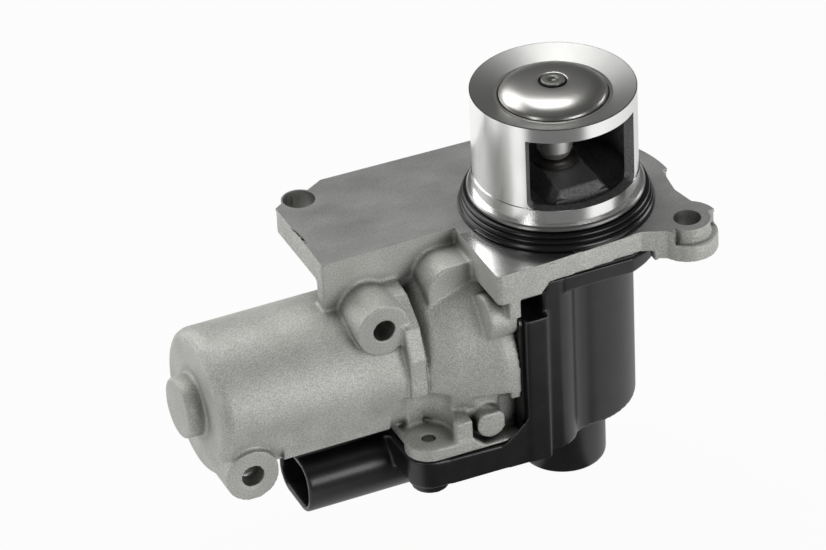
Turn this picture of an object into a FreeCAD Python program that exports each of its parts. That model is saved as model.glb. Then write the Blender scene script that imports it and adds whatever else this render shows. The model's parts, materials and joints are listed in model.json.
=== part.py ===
import FreeCAD, Part

import math
import os

from FreeCAD import Vector

# EGR valve: an electric poppet valve for exhaust gas, in millimetres.
# It is drawn from the valve axis at the flange's machined face. +Z runs along the valve towards
# the poppet, +X along the motor towards the gear cover, and the gas window faces -Y.
# The exported parts have their origin on the same axis where the spigot leaves its lip.

# Spigot: the machined cylinder that plugs into the intake housing
SPIGOT_R = 26.15
SPIGOT_RELIEF = 0.3
SPIGOT_TOP = 41.5
SPIGOT_WALL = 3.5
LIP_R = 27.75
LIP_LOW = 6.0
LIP_HIGH = 7.4
RING_SEAT_R = 26.4
RING_R = 30.4
RING_TOP = 5.5
RING_BED = 0.25
PILOT = 5.0
WINDOW_LOW = LIP_HIGH + PILOT
WINDOW_HIGH = 36.6
WINDOW_HALF_ANGLE = 45.0
WINDOW_CORNER = 2.5
ROOF_LOW = 33.6
CHAMBER_FLOOR = 10.0

# Valve seat and poppet
SEAT_R = 18.4
SEAT_BORE_R = SEAT_R - 2.8
SEAT_TOP = 39.0
SEAT_THICK = 4.4
HEAD_R = SEAT_R - 1.5
HEAD_GAP = 0.12
HEAD_EDGE = 1.3
HEAD_RISE = 4.6
STEM_R = 3.0
RIVET_R = 3.8
RIVET_RISE = 0.6
SHIELD_R = 5.5
SHIELD_LOW = 17.2
SHIELD_TAPER = 2.4
BUSH_R = 5.6
BUSH_HEAD_R = 7.0
BUSH_TOP = 16.4
BUSH_HEAD = 1.4
BUSH_LENGTH = 17.0
RUN_GAP = 0.05
PEDESTAL_TOP = 15.0
PEDESTAL_HALF = 6.4
PEDESTAL_FRONT = 16.8
PEDESTAL_FLARE = 5.0
SEAL_R = 8.0
SEAL_THICK = 4.0
SEAL_LOW_DROP = 12.4
SEAT_FIT = 0.03
SPRING_LOW = -27.0
SPRING_R = 6.6
SPRING_WIRE = 0.7
SPRING_SEAT = 1.5
CLIP_THICK = 0.9

# Flange plate with its ear, and the machined gasket plate beside it
FLANGE_THICK = 10.7
POCKET_THICK = 7.2
FLANGE_LEFT = 34.8
FLANGE_FRONT = 31.6
FLANGE_FRONT_RIGHT = (15.0, 28.8)
LOBE_R = 38.4
EAR_X = 31.2
EAR_Y = -28.2
EAR_R = 9.6
EAR_THICK = 10.2
EAR_ROOT_X = 18.8
EAR_BOSS_R = 7.2
EAR_HOLE_R = 4.35
EAR_LEDGE = 4.7
PLATE_LEFT = 79.4
PLATE_BACK = 44.6
PLATE_THICK = 9.0
PLATE_HOLE_X = 8.6 - PLATE_LEFT
PLATE_HOLE_Y = 37.4
PLATE_HOLE_R = 5.15
PLATE_HOLE_WALL = 0.5
PLATE_RIB = 5.5
GROOVE_WIDTH = 1.3
GROOVE_DEPTH = 0.5
GROOVE_R = 32.0

# Motor housing, cast as a closed cylinder along X around the motor's can
CAN_R = 20.1
MOTOR_Y = 4.7
MOTOR_Z = -40.8
MOTOR_BORE_R = CAN_R + 0.3
MOTOR_HOUSING_R = MOTOR_BORE_R + 3.2
HOUSING_END = -122.0
HOUSING_END_WALL = 3.0
HOUSING_RIM = 3.6
STUB_R = 9.8
STUB_LENGTH = 6.0
COLLAR_X = -60.2
COLLAR_WIDTH = 5.4
COLLAR_R = MOTOR_HOUSING_R + 2.2
PAD_LEFT = -102.0
PAD_RIGHT = -66.0
PAD_LOW = -55.6
PAD_HIGH = -47.8

# Bosses for the bracket screws, along Y
BOSS_R = 8.75
BOSS_HOLE_R = 3.5
BOSS_A_X = -66.2
BOSS_A_Z = -19.2
BOSS_A_FACE = -15.6
BOSS_B_X = -113.8
BOSS_B_Z = -55.2
BOSS_B_FACE = -20.0

# Gearbox half of the casting
MATING_X = -27.5
GEARBOX_LEFT = -54.0
GEARBOX_FRONT = 31.5
GEARBOX_LOW = -61.5
GEARBOX_WALL = 3.0
ARCH_RISE = 12.4
BLOCK_LEFT = -49.6
BLOCK_FRONT = 12.4
BLOCK_TOP = -5.4
BLOCK_ARC = 7.5
CORNER_BOSS_Y = -22.2
CORNER_BOSS_Z = -19.5
CORNER_BOSS_R = 7.3
CORNER_BOSS_LEFT = -36.5
PEG_X = -37.8
PEG_Z = -54.0
PEG_R = 4.9
TAB_X = -56.6
TAB_Y = -23.6
TAB_R = 7.6
TAB_THICK = 4.5
TAB_HOLE_R = 2.2

# Moulded gear cover with its base, connector and sensor cup
GASKET = 1.2
COVER_WALL = 2.4
STRIP_RIGHT = -18.4
COVER_FRONT = 32.6
COVER_LOW = -71.2
STRIP_TOP = -18.6
BAND_R = 32.2
BULGE_R = BAND_R - 8.7
BAND_FRONT = BAND_R - 2.2
BAND_THICK = 6.3
BASE_LEFT = -64.3
LUG_R = 7.8
CUP_R = 13.7
CUP_LOW = -94.8
CONNECTOR_MOUTH = -93.0
CONNECTOR_Y = -1.0
CONNECTOR_HALF = 12.4
CONNECTOR_TOP = -65.6
CONNECTOR_LOW = -83.2
CONNECTOR_ROUND = 7.0
CONNECTOR_WALL = 1.8
CONNECTOR_DEPTH = 24.0
CONNECTOR_ROOT = -50.0
TERMINALS = 5
TERMINAL_PITCH = 3.6
BASE_GAP = 0.3
TOP_SEAL = 0.8
NOTCH_DEEP = 21.0
LUG_DROP = 3.2
GUSSET = 7.3
SCREW_R = 2.0
BACK_TAB_Y = 31.6
DOWEL_R = 1.5
DOWEL_DEEP = 5.0
DOWELS = ((CORNER_BOSS_Y, CORNER_BOSS_Z - 2.0), (26.0, -57.5))
PLUNGER_R = 2.2
SENSOR_BORE_R = 4.6
SENSOR_SPRING_HIGH = -86.0

# Gear train: module, teeth and places
MODULE = 0.75
PRESSURE_ANGLE = 25.0
ADDENDUM = 0.8
DEDENDUM = 1.15
BACKLASH = 0.12
PINION_TEETH = 10
WHEEL_TEETH = 36
IDLER_TEETH = 11
OUTPUT_TEETH = 44
IDLER_ANGLE = 100.0
CRANK_R = 7.0
CRANK_HALF_SWING = 30.0
ROLLER_R = 3.5
ROLLER_GAP = 0.12
YOKE_HALF = 4.0
YOKE_WALL = 4.0
YOKE_FLOOR = 2.9
YOKE_NECK = 7.9
STEM_GRIP = 6.0

# Motor
CAN_WALL = 1.6
CAN_LEFT = -117.0
PLATE_X = -47.0
GEAR_PLATE = 2.5
GEAR_PLATE_R = CAN_R + 1.3
SHAFT_R = 2.0
ARMATURE_LEFT = -106.0
ARMATURE_RIGHT = -68.0
ARMATURE_SLOTS = 5
MAGNET_THICK = 4.6
AIR_GAP = 0.8
ARMATURE_R = CAN_R - CAN_WALL - MAGNET_THICK - AIR_GAP
FRONT_PLATE = 2.0
BEARING_R = 4.5
COMMUTATOR_X = -62.0
COMMUTATOR_R = 6.0
BRUSH_HALF = 2.1
BRUSH_WIDE = 3.8
BRUSH_LONG = 7.0
CARD_THICK = 2.4
CARD_WALL = 1.0
PLATE_SCREW_R = 1.5
PLATE_SCREW_ANGLES = (-70, 30, 215)
AXLE_R = 2.5
HUB_R = 5.6
HUB_BACK = 8.0
PIN_R = 2.0


def x_rod(x0, x1, y, z, r):
    return Part.makeCylinder(r, x1 - x0, Vector(x0, y, z), Vector(1, 0, 0))


def y_rod(y0, y1, x, z, r):
    return Part.makeCylinder(r, y1 - y0, Vector(x, y0, z), Vector(0, 1, 0))


def z_rod(z0, z1, x, y, r):
    return Part.makeCylinder(r, z1 - z0, Vector(x, y, z0), Vector(0, 0, 1))


def block(x0, x1, y0, y1, z0, z1):
    return Part.makeBox(x1 - x0, y1 - y0, z1 - z0, Vector(x0, y0, z0))


def join(first, *others):
    return first.fuse(list(others)).removeSplitter()


# A quarter round as four corners of a turned profile: (share inwards, share along)
ROUND_RIM = ((1.0, 0.0), (0.6, 0.08), (0.22, 0.4), (0.0, 1.0))


def turned(profile, start, axis):
    """Revolve a closed outline of (radius, height) pairs about an axis through start."""
    across = Vector(0, 0, 1) if axis.z == 0 else Vector(1, 0, 0)
    points = [start + across * r + axis * h for r, h in profile]
    wire = Part.makePolygon(points + points[:1])
    return Part.Face(wire).revolve(start, axis, 360)


def prism_z(points, z0, z1):
    wire = Part.makePolygon([Vector(x, y, z0) for x, y in points + points[:1]])
    return Part.Face(wire).extrude(Vector(0, 0, z1 - z0))


def prism_x(points, x0, x1):
    wire = Part.makePolygon([Vector(x0, y, z) for y, z in points + points[:1]])
    return Part.Face(wire).extrude(Vector(x1 - x0, 0, 0))


def prism_y(points, y0, y1):
    wire = Part.makePolygon([Vector(x, y0, z) for x, z in points + points[:1]])
    return Part.Face(wire).extrude(Vector(0, y1 - y0, 0))


def rounded(solid, radius, direction):
    """Round the straight edges of a solid that run along one direction."""
    edges = []
    for edge in solid.Edges:
        ends = [v.Point for v in edge.Vertexes]
        if len(ends) == 2 and (ends[1] - ends[0]).normalize().cross(direction).Length < 1e-6:
            edges.append(edge)
    return solid.makeFillet(radius, edges)


def edges_at(solid, axis, value):
    """Edges that lie wholly in the plane where a coordinate has one value."""
    low, high = axis + "Min", axis + "Max"
    return [e for e in solid.Edges
            if abs(getattr(e.BoundBox, low) - value) < 1e-4
            and abs(getattr(e.BoundBox, high) - value) < 1e-4]


def tooth_outline(teeth, phase, first=0, last=None):
    """Points of involute teeth, counter-clockwise, with the first tooth centred on phase."""
    pitch_r = MODULE * teeth / 2
    base_r = pitch_r * math.cos(math.radians(PRESSURE_ANGLE))
    tip_r = pitch_r + ADDENDUM * MODULE
    root_r = pitch_r - DEDENDUM * MODULE

    def involute(r):
        angle = math.acos(min(1.0, base_r / r))
        return math.tan(angle) - angle

    half_at_pitch = math.pi / (2 * teeth) - BACKLASH / (2 * pitch_r)
    low_r = max(base_r, root_r)
    flank = []
    for step in range(4):
        r = low_r + (tip_r - low_r) * step / 3
        flank.append((r, half_at_pitch + involute(pitch_r) - involute(r)))
    points = []
    for tooth in range(first, teeth if last is None else last):
        centre = phase + tooth * 2 * math.pi / teeth
        points.append((root_r, centre - flank[0][1]))
        points += [(r, centre - half) for r, half in flank]
        points += [(r, centre + half) for r, half in reversed(flank)]
        points.append((root_r, centre + flank[0][1]))
    if root_r >= base_r:
        points = [p for i, p in enumerate(points) if i % 10 not in (0, 9)]
    return [(r * math.cos(a), r * math.sin(a)) for r, a in points]


def gear_x(teeth, phase, x0, x1, y, z):
    outline = tooth_outline(teeth, phase)
    return prism_x([(y + py, z + pz) for py, pz in outline], x0, x1)


# Places of the gear train, worked out from the teeth
PINION_TO_WHEEL = MODULE * (PINION_TEETH + WHEEL_TEETH) / 2
IDLER_TO_OUTPUT = MODULE * (IDLER_TEETH + OUTPUT_TEETH) / 2
IDLER_Y = MOTOR_Y + PINION_TO_WHEEL * math.cos(math.radians(IDLER_ANGLE))
IDLER_Z = MOTOR_Z + PINION_TO_WHEEL * math.sin(math.radians(IDLER_ANGLE))
OUTPUT_Y = -CRANK_R * (1 + math.cos(math.radians(CRANK_HALF_SWING))) / 2
OUTPUT_Z = IDLER_Z - math.sqrt(IDLER_TO_OUTPUT ** 2 - (IDLER_Y - OUTPUT_Y) ** 2)
PIN_Y = OUTPUT_Y + CRANK_R * math.cos(math.radians(CRANK_HALF_SWING))
PIN_Z = OUTPUT_Z - CRANK_R * math.sin(math.radians(CRANK_HALF_SWING))

# Stations along X
GEAR_START = PLATE_X + GEAR_PLATE
WHEEL_X = GEAR_START + 2.5
WHEEL_WIDE = 5.0
COVER_LEFT = MATING_X + GASKET
OUTPUT_X = COVER_LEFT + 1.2
OUTPUT_WIDE = 5.5
ARM_X = -12.5
ARM_WIDE = 5.0
PIN_END = YOKE_HALF + 1.2
WHEEL_POCKET_R = 15.2

# Heights along Z
CHAMBER_R = SPIGOT_R - SPIGOT_WALL
SLOT_HALF = ROLLER_R + ROLLER_GAP
YOKE_HIGH = PIN_Z + SLOT_HALF + YOKE_WALL + YOKE_NECK
YOKE_LOW = PIN_Z - SLOT_HALF - YOKE_FLOOR
STEM_LOW = YOKE_HIGH - STEM_GRIP
BUSH_LOW = BUSH_TOP - BUSH_HEAD - BUSH_LENGTH
STROKE = 2 * CRANK_R * math.sin(math.radians(CRANK_HALF_SWING))


def window_cut():
    """The gas window: a wedge seen from the valve axis, with round lower corners."""
    reach = SPIGOT_R + 4
    half = reach * math.tan(math.radians(WINDOW_HALF_ANGLE))
    wedge = prism_z([(0, 0), (-half, -reach), (half, -reach)], WINDOW_LOW, WINDOW_HIGH)
    sides = [e for e in wedge.Edges
             if abs(e.BoundBox.ZMax - WINDOW_LOW) < 1e-4 and e.BoundBox.YMax > -1e-4]
    wedge = wedge.makeFillet(WINDOW_CORNER, sides)
    core = z_rod(WINDOW_LOW - 1, WINDOW_HIGH + 1, 0, 0, CHAMBER_R - 3)
    return wedge.cut(core)


def pedestal():
    """The rectangular island that carries the guide bush, with sloping cast sides."""
    low = CHAMBER_FLOOR - 1
    flare = PEDESTAL_FLARE

    def ring(grow, z):
        corners = [(-PEDESTAL_HALF - grow, -PEDESTAL_FRONT - grow),
                   (PEDESTAL_HALF + grow, -PEDESTAL_FRONT - grow),
                   (PEDESTAL_HALF + grow, PEDESTAL_HALF + 1.5 + grow),
                   (-PEDESTAL_HALF - grow, PEDESTAL_HALF + 1.5 + grow)]
        return Part.makePolygon([Vector(x, y, z) for x, y in corners + corners[:1]])

    island = Part.makeLoft([ring(flare, low), ring(0, PEDESTAL_TOP)], True, True)
    return island.common(z_rod(low - 1, PEDESTAL_TOP + 1, 0, 0, CHAMBER_R + 1))


def spigot():
    """Outside of the spigot: the seal's step, the lip, the full pilot land and the relieved end."""
    return turned([(0, -1), (RING_SEAT_R, -1), (RING_SEAT_R, LIP_LOW), (LIP_R, LIP_LOW),
                   (LIP_R, LIP_HIGH - 0.5), (LIP_R - 0.5, LIP_HIGH), (SPIGOT_R, LIP_HIGH),
                   (SPIGOT_R, WINDOW_LOW), (SPIGOT_R - SPIGOT_RELIEF, WINDOW_LOW),
                   (SPIGOT_R - SPIGOT_RELIEF, SPIGOT_TOP), (SEAT_R, SEAT_TOP), (0, SEAT_TOP)],
                  Vector(0, 0, 0), Vector(0, 0, 1))


def gas_way():
    """Cuts for the gas chamber around the pedestal, the port, the seat's pocket and the window."""
    seat_bed = SEAT_TOP - SEAT_THICK
    return [z_rod(CHAMBER_FLOOR, ROOF_LOW, 0, 0, CHAMBER_R).cut(pedestal()),
            z_rod(ROOF_LOW - 1, seat_bed, 0, 0, SEAT_BORE_R + 0.6),
            z_rod(seat_bed, SPIGOT_TOP, 0, 0, SEAT_R),
            window_cut()]


def flange():
    """Flange plate under the spigot: left corner, lobe on the right, and the ear."""
    right_x, right_y = FLANGE_FRONT_RIGHT
    slab = prism_z([(-FLANGE_LEFT, 6), (-FLANGE_LEFT, -FLANGE_FRONT), (-16, -FLANGE_FRONT + 0.6),
                    (right_x, -right_y), (EAR_X - 6, EAR_Y - 5), (EAR_X + 6, EAR_Y + 5),
                    (LOBE_R - 3.4, -12), (LOBE_R - 1, 6)], -FLANGE_THICK, 0)
    corner = [e for e in slab.Edges
              if e.BoundBox.XMax < -FLANGE_LEFT + 0.1 and e.BoundBox.YMax < -FLANGE_FRONT + 0.1
              and e.Length > FLANGE_THICK - 0.1]
    slab = slab.makeFillet(1.6, corner)
    lobe = z_rod(-FLANGE_THICK, 0, 0, 0, LOBE_R)
    lobe = lobe.common(block(-LOBE_R, LOBE_R, 0, LOBE_R, -FLANGE_THICK, 0))
    ear = z_rod(-EAR_THICK, 0, EAR_X, EAR_Y, EAR_R)
    body = join(slab, lobe, ear)
    ledge = z_rod(-EAR_LEDGE, 1, EAR_X, EAR_Y, EAR_R + 3).cut(
        z_rod(-EAR_LEDGE, 1, EAR_X, EAR_Y, EAR_BOSS_R))
    kept = prism_z([(EAR_X - 7.2, EAR_Y - 20), (EAR_X - 7.2, EAR_Y - 4.4), (EAR_X + 7.0, EAR_Y + 0.6),
                    (EAR_X + 20, EAR_Y + 0.6), (EAR_X + 20, EAR_Y - 20)], -EAR_LEDGE, 1)
    return body.cut(ledge.common(kept))


def gasket_plate():
    """The long machined plate beside the spigot, with a rib along its front."""
    hole_wall = PLATE_HOLE_R + PLATE_HOLE_WALL
    plate = prism_z([(-PLATE_LEFT, 0), (-PLATE_LEFT, PLATE_HOLE_Y - 1.6),
                     (PLATE_HOLE_X - hole_wall + 0.3, PLATE_HOLE_Y + 0.6),
                     (PLATE_HOLE_X + 4.7, PLATE_HOLE_Y + 3.8), (PLATE_HOLE_X + 10.4, PLATE_BACK),
                     (-8, PLATE_BACK - 1.0), (13, LOBE_R - 2.2), (20, 0)], -PLATE_THICK, 0)
    corner = z_rod(-PLATE_THICK, 0, PLATE_HOLE_X, PLATE_HOLE_Y, hole_wall)
    rib = block(-PLATE_LEFT, -FLANGE_LEFT, 0, PLATE_RIB, MOTOR_Z + MOTOR_BORE_R + 1, -PLATE_THICK)
    return join(plate, corner, rib)


def plate_groove():
    """The shallow curved relief from the corner hole to the plate's left edge."""
    end_y = 13.2
    rise = PLATE_HOLE_Y - end_y
    run = PLATE_LEFT + PLATE_HOLE_X
    centre_x = -PLATE_LEFT - GROOVE_R + 0.4
    centre_y = end_y + rise * 0.12
    ring = z_rod(-GROOVE_DEPTH, 1, centre_x, centre_y, GROOVE_R + GROOVE_WIDTH / 2).cut(
        z_rod(-GROOVE_DEPTH, 1, centre_x, centre_y, GROOVE_R - GROOVE_WIDTH / 2))
    return ring.common(block(-PLATE_LEFT - 1, PLATE_HOLE_X + run, end_y, PLATE_HOLE_Y, -1, 1))


def motor_housing():
    """The closed cylinder, its stub, the collar with its rib, and the pad underneath."""
    stub_end = HOUSING_END - STUB_LENGTH
    rim = [(MOTOR_HOUSING_R - HOUSING_RIM * in_r, HOUSING_END + HOUSING_RIM * in_x) for in_r, in_x in ROUND_RIM]
    outline = [(0, stub_end), (STUB_R - 0.6, stub_end), (STUB_R, stub_end + 0.6), (STUB_R, HOUSING_END)]
    outline += rim + [(MOTOR_HOUSING_R, MATING_X), (0, MATING_X)]
    shell = turned(outline, Vector(0, MOTOR_Y, MOTOR_Z), Vector(1, 0, 0))
    collar = x_rod(COLLAR_X, COLLAR_X + COLLAR_WIDTH, MOTOR_Y, MOTOR_Z, COLLAR_R)
    rib = prism_x([(1, -12.0), (-8, -13.4), (-17, -20.5), (-20.6, -30), (-21.1, MOTOR_Z), (1, MOTOR_Z)],
                  COLLAR_X, COLLAR_X + COLLAR_WIDTH)
    front = MOTOR_Y - MOTOR_HOUSING_R
    pad = prism_x([(front + 1.2, PAD_HIGH), (front + 2.6, PAD_LOW), (MOTOR_Y, PAD_LOW), (MOTOR_Y, PAD_HIGH)],
                  PAD_LEFT, PAD_RIGHT)
    return join(shell, collar, rib, pad)


def bosses():
    """Two screw bosses that face the front, and the web from the closed end to one of them."""
    upper = y_rod(BOSS_A_FACE, MOTOR_Y, BOSS_A_X, BOSS_A_Z, BOSS_R)
    lower = y_rod(BOSS_B_FACE, MOTOR_Y - 6, BOSS_B_X, BOSS_B_Z, BOSS_R)
    web = prism_x([(MOTOR_Y - 16, MOTOR_Z + 4), (BOSS_B_FACE + 4, BOSS_B_Z + 4), (BOSS_B_FACE + 4, BOSS_B_Z - 3),
                   (BOSS_B_FACE + 10, BOSS_B_Z - BOSS_R + 2), (MOTOR_Y, MOTOR_Z - MOTOR_HOUSING_R + 2)],
                  BOSS_B_X - BOSS_R + 2.4, BOSS_B_X)
    return join(upper, lower, web)


def gearbox_outside():
    """The arch over the gear train, its mating slab, the block over the idler and the base tab."""
    swell = ((0, 0.08), (0.14, 0.35), (0.3, 0.52), (0.53, 0.67), (0.79, 0.89), (1, 1))
    profile = [(GEARBOX_LEFT + (MATING_X - GEARBOX_LEFT) * along, MOTOR_HOUSING_R + ARCH_RISE * share)
               for along, share in swell]
    wire = Part.makePolygon([Vector(x, MOTOR_Y, MOTOR_Z + r) for x, r in profile]
                            + [Vector(MATING_X, MOTOR_Y, MOTOR_Z), Vector(GEARBOX_LEFT, MOTOR_Y, MOTOR_Z),
                               Vector(GEARBOX_LEFT, MOTOR_Y, MOTOR_Z + profile[0][1])])
    arch = Part.Face(wire).revolve(Vector(0, MOTOR_Y, MOTOR_Z), Vector(1, 0, 0), 360)
    keep = block(GEARBOX_LEFT, MATING_X, -GEARBOX_FRONT, GEARBOX_FRONT, GEARBOX_LOW, -2.0)
    arch = arch.common(keep)

    def level(left_front, z):
        corners = [(GEARBOX_LEFT + 1.4, -left_front), (GEARBOX_LEFT + 4, -GEARBOX_FRONT + 0.5),
                   (MATING_X, -GEARBOX_FRONT), (MATING_X, GEARBOX_FRONT), (GEARBOX_LEFT + 4, GEARBOX_FRONT)]
        return Part.makePolygon([Vector(x, y, z) for x, y in corners + corners[:1]])

    foot = Part.makeLoft([level(28.0, GEARBOX_LOW), level(24.0, -50.0)], True, True)
    slab = rounded(block(MATING_X - 3.5, MATING_X, -GEARBOX_FRONT, GEARBOX_FRONT, GEARBOX_LOW, -4.0),
                   5.0, Vector(1, 0, 0))
    bore_land = x_rod(GEARBOX_LEFT, MATING_X, MOTOR_Y, MOTOR_Z, GEAR_PLATE_R + GEARBOX_WALL)
    cap = block(BLOCK_LEFT, -FLANGE_LEFT + 1, -BLOCK_FRONT, 2, IDLER_Z, BLOCK_TOP)
    arc = [e for e in cap.Edges
           if abs(e.BoundBox.XMax - BLOCK_LEFT) < 1e-4 and abs(e.BoundBox.ZMin - BLOCK_TOP) < 1e-4]
    cap = cap.makeFillet(BLOCK_ARC, arc)
    corner_boss = x_rod(CORNER_BOSS_LEFT, MATING_X, CORNER_BOSS_Y, CORNER_BOSS_Z, CORNER_BOSS_R)
    body = join(arch, foot, slab, bore_land, cap, corner_boss)
    return body


def base_tab():
    """The two lugs of the casting that sit on the plastic base and take its screws."""
    low, high = GEARBOX_LOW, GEARBOX_LOW + TAB_THICK
    front = z_rod(low, high, TAB_X, TAB_Y, TAB_R)
    back = z_rod(low, high, TAB_X, BACK_TAB_Y, TAB_R)
    left = TAB_X - TAB_R + 1.6
    root = prism_z([(left, TAB_Y), (left, BACK_TAB_Y), (TAB_X, GEARBOX_FRONT), (MATING_X, GEARBOX_FRONT),
                    (MATING_X, -GEARBOX_FRONT), (TAB_X, -GEARBOX_FRONT + 0.3)], low, high)
    return join(front, back, root)


def front_recess():
    """Pocket in the lower front of the gearbox, around the round peg."""
    x0, x1 = PEG_X - 6.8, MATING_X - 3.2
    floor = GEARBOX_LOW + 1.2
    outline = [(x0, floor + 3.5), (x0, PEG_Z + 5.0), (x0 + 2.8, PEG_Z + 8.4), (x1, PEG_Z + 9.4),
               (x1, floor), (x0 + 4.0, floor)]
    pocket = prism_y(outline, -GEARBOX_FRONT - 3, -GEARBOX_FRONT + 6.0)
    peg = y_rod(-GEARBOX_FRONT + 1.2, -GEARBOX_FRONT + 6.5, PEG_X, PEG_Z, PEG_R)
    return pocket.cut(peg)


def casting():
    outside = join(flange(), gasket_plate(), motor_housing(), bosses(), gearbox_outside(), base_tab())
    under_cover = flange_pocket()
    recess_tab = z_rod(GEARBOX_LOW + TAB_THICK, -44, TAB_X, TAB_Y, TAB_R + 0.6)
    seal_bed = z_rod(-RING_BED, 1, 0, 0, RING_R + 0.4)
    outside = outside.cut([under_cover, recess_tab, front_recess(), plate_groove(), seal_bed])
    outside = join(outside, spigot(), stem_boss())
    motor_bore = x_rod(HOUSING_END + HOUSING_END_WALL, PLATE_X, MOTOR_Y, MOTOR_Z, MOTOR_BORE_R)
    plate_bore = x_rod(PLATE_X, MATING_X + 1, MOTOR_Y, MOTOR_Z, GEAR_PLATE_R + SEAT_FIT)
    wheel_pocket = x_rod(GEAR_START, MATING_X + 1, IDLER_Y, IDLER_Z, WHEEL_POCKET_R)
    bores = [motor_bore, plate_bore, wheel_pocket,
             z_rod(-PLATE_THICK - 1, 1, PLATE_HOLE_X, PLATE_HOLE_Y, PLATE_HOLE_R),
             z_rod(-FLANGE_THICK - 1, 1, EAR_X, EAR_Y, EAR_HOLE_R),
             y_rod(BOSS_A_FACE - 1, BOSS_A_FACE + 12, BOSS_A_X, BOSS_A_Z, BOSS_HOLE_R),
             y_rod(BOSS_B_FACE - 1, BOSS_B_FACE + 5.5, BOSS_B_X, BOSS_B_Z, BOSS_HOLE_R),
             z_rod(GEARBOX_LOW - 1, GEARBOX_LOW + TAB_THICK + 1, TAB_X, TAB_Y, TAB_HOLE_R),
             z_rod(GEARBOX_LOW - 1, GEARBOX_LOW + TAB_THICK + 1, TAB_X, BACK_TAB_Y, TAB_HOLE_R)]
    return outside.cut(bores + gas_way() + bush_bore() + dowel_holes())


def flange_pocket():
    """Relief under the flange for the cover's top band, open at the front."""
    slope = FLANGE_THICK - POCKET_THICK
    left = STRIP_RIGHT - 1.6
    side = prism_y([(left, -FLANGE_THICK - 1), (left, -FLANGE_THICK), (left + slope * 0.8, -POCKET_THICK),
                    (BAND_R + 1, -POCKET_THICK), (BAND_R + 1, -FLANGE_THICK - 1)], -BAND_R - 8, BAND_R + 8)
    ring = z_rod(-FLANGE_THICK - 1, -POCKET_THICK, 0, 0, BAND_R + 1)
    mouth = block(left, EAR_ROOT_X, -BAND_R - 8, -20, -FLANGE_THICK - 1, -POCKET_THICK)
    back = block(left, -6, 0, BAND_FRONT + 1, -FLANGE_THICK - 1, -POCKET_THICK)
    under_ear = z_rod(-FLANGE_THICK - 1, -EAR_THICK, EAR_X, EAR_Y, EAR_R + 2)
    return side.common(ring.fuse([mouth, back])).fuse(under_ear)


def stem_boss():
    return z_rod(-SEAL_LOW_DROP, -POCKET_THICK + 1, 0, 0, SEAL_R + 2.5)


def bush_bore():
    """Bores for the stem, its guide bush and the seal below it."""
    return [z_rod(BUSH_LOW, PEDESTAL_TOP + 1, 0, 0, BUSH_R + SEAT_FIT),
            z_rod(-SEAL_LOW_DROP, BUSH_LOW, 0, 0, STEM_R + 1.0),
            z_rod(-SEAL_LOW_DROP - 1, -SEAL_LOW_DROP + SEAL_THICK, 0, 0, SEAL_R + SEAT_FIT)]


def dowel_holes():
    return [x_rod(MATING_X - DOWEL_DEEP, MATING_X + 1, y, z, DOWEL_R + SEAT_FIT) for y, z in DOWELS]


def seat_ring():
    low, high = SEAT_TOP - SEAT_THICK, SEAT_TOP
    return turned([(SEAT_BORE_R, low), (SEAT_R - SEAT_FIT, low), (SEAT_R - SEAT_FIT, high),
                   (HEAD_R + 0.5, high), (HEAD_R - 0.2, high - 0.9), (SEAT_BORE_R, high - 2.6)],
                  Vector(0, 0, 0), Vector(0, 0, 1))


def valve_head():
    """Domed poppet: a flat crown, a round shoulder and a conical sealing edge."""
    edge = SEAT_TOP - 0.4 + HEAD_GAP
    top = head_top()
    under = edge - 2.0
    return turned([(STEM_R, under), (SEAT_BORE_R - 0.5, under), (HEAD_R - 0.1, edge), (HEAD_R, edge + HEAD_EDGE),
                   (HEAD_R - 0.3, top - 3.1), (HEAD_R - 1.2, top - 2.1), (HEAD_R - 2.6, top - 1.3),
                   (HEAD_R * 0.6, top - 0.35), (RIVET_R + 0.8, top), (STEM_R, top)],
                  Vector(0, 0, 0), Vector(0, 0, 1))


def head_top():
    return SEAT_TOP - 0.4 + HEAD_GAP + HEAD_EDGE + HEAD_RISE - 1.2


def valve_stem():
    top = head_top()
    stem = turned([(0, STEM_LOW), (STEM_R - 0.4, STEM_LOW), (STEM_R, STEM_LOW + 0.4), (STEM_R, top),
                   (RIVET_R, top), (RIVET_R - 0.4, top + RIVET_RISE), (1.3, top + RIVET_RISE),
                   (0.8, top + RIVET_RISE - 0.9), (0, top + RIVET_RISE - 1.0)],
                  Vector(0, 0, 0), Vector(0, 0, 1))
    low, high = SPRING_LOW - SPRING_SEAT - CLIP_THICK, SPRING_LOW - SPRING_SEAT
    groove = z_rod(low, high, 0, 0, STEM_R + 1).cut(z_rod(low, high, 0, 0, STEM_R - 0.5))
    return stem.cut(groove)


def stem_shield():
    high = SEAT_TOP - 0.4 + HEAD_GAP - 2.0
    return turned([(STEM_R, SHIELD_LOW), (SHIELD_R - 1.1, SHIELD_LOW), (SHIELD_R, SHIELD_LOW + SHIELD_TAPER),
                   (SHIELD_R, high), (STEM_R, high)], Vector(0, 0, 0), Vector(0, 0, 1))


def guide_bush():
    head_low = BUSH_TOP - BUSH_HEAD
    inner = STEM_R + RUN_GAP
    return turned([(inner, BUSH_LOW), (BUSH_R, BUSH_LOW), (BUSH_R, head_low), (BUSH_HEAD_R, head_low),
                   (BUSH_HEAD_R, BUSH_TOP - 0.5), (BUSH_HEAD_R - 0.5, BUSH_TOP), (inner, BUSH_TOP)],
                  Vector(0, 0, 0), Vector(0, 0, 1))


def stem_seal():
    low = -SEAL_LOW_DROP
    high = low + SEAL_THICK
    inner = STEM_R + RUN_GAP
    return turned([(inner, low + 1.4), (inner + 0.5, low + 0.6), (inner + 2.2, low), (SEAL_R, low),
                   (SEAL_R, high), (inner + 1.6, high), (inner + 1.6, low + 2.2), (inner, low + 1.9)],
                  Vector(0, 0, 0), Vector(0, 0, 1))


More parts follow.
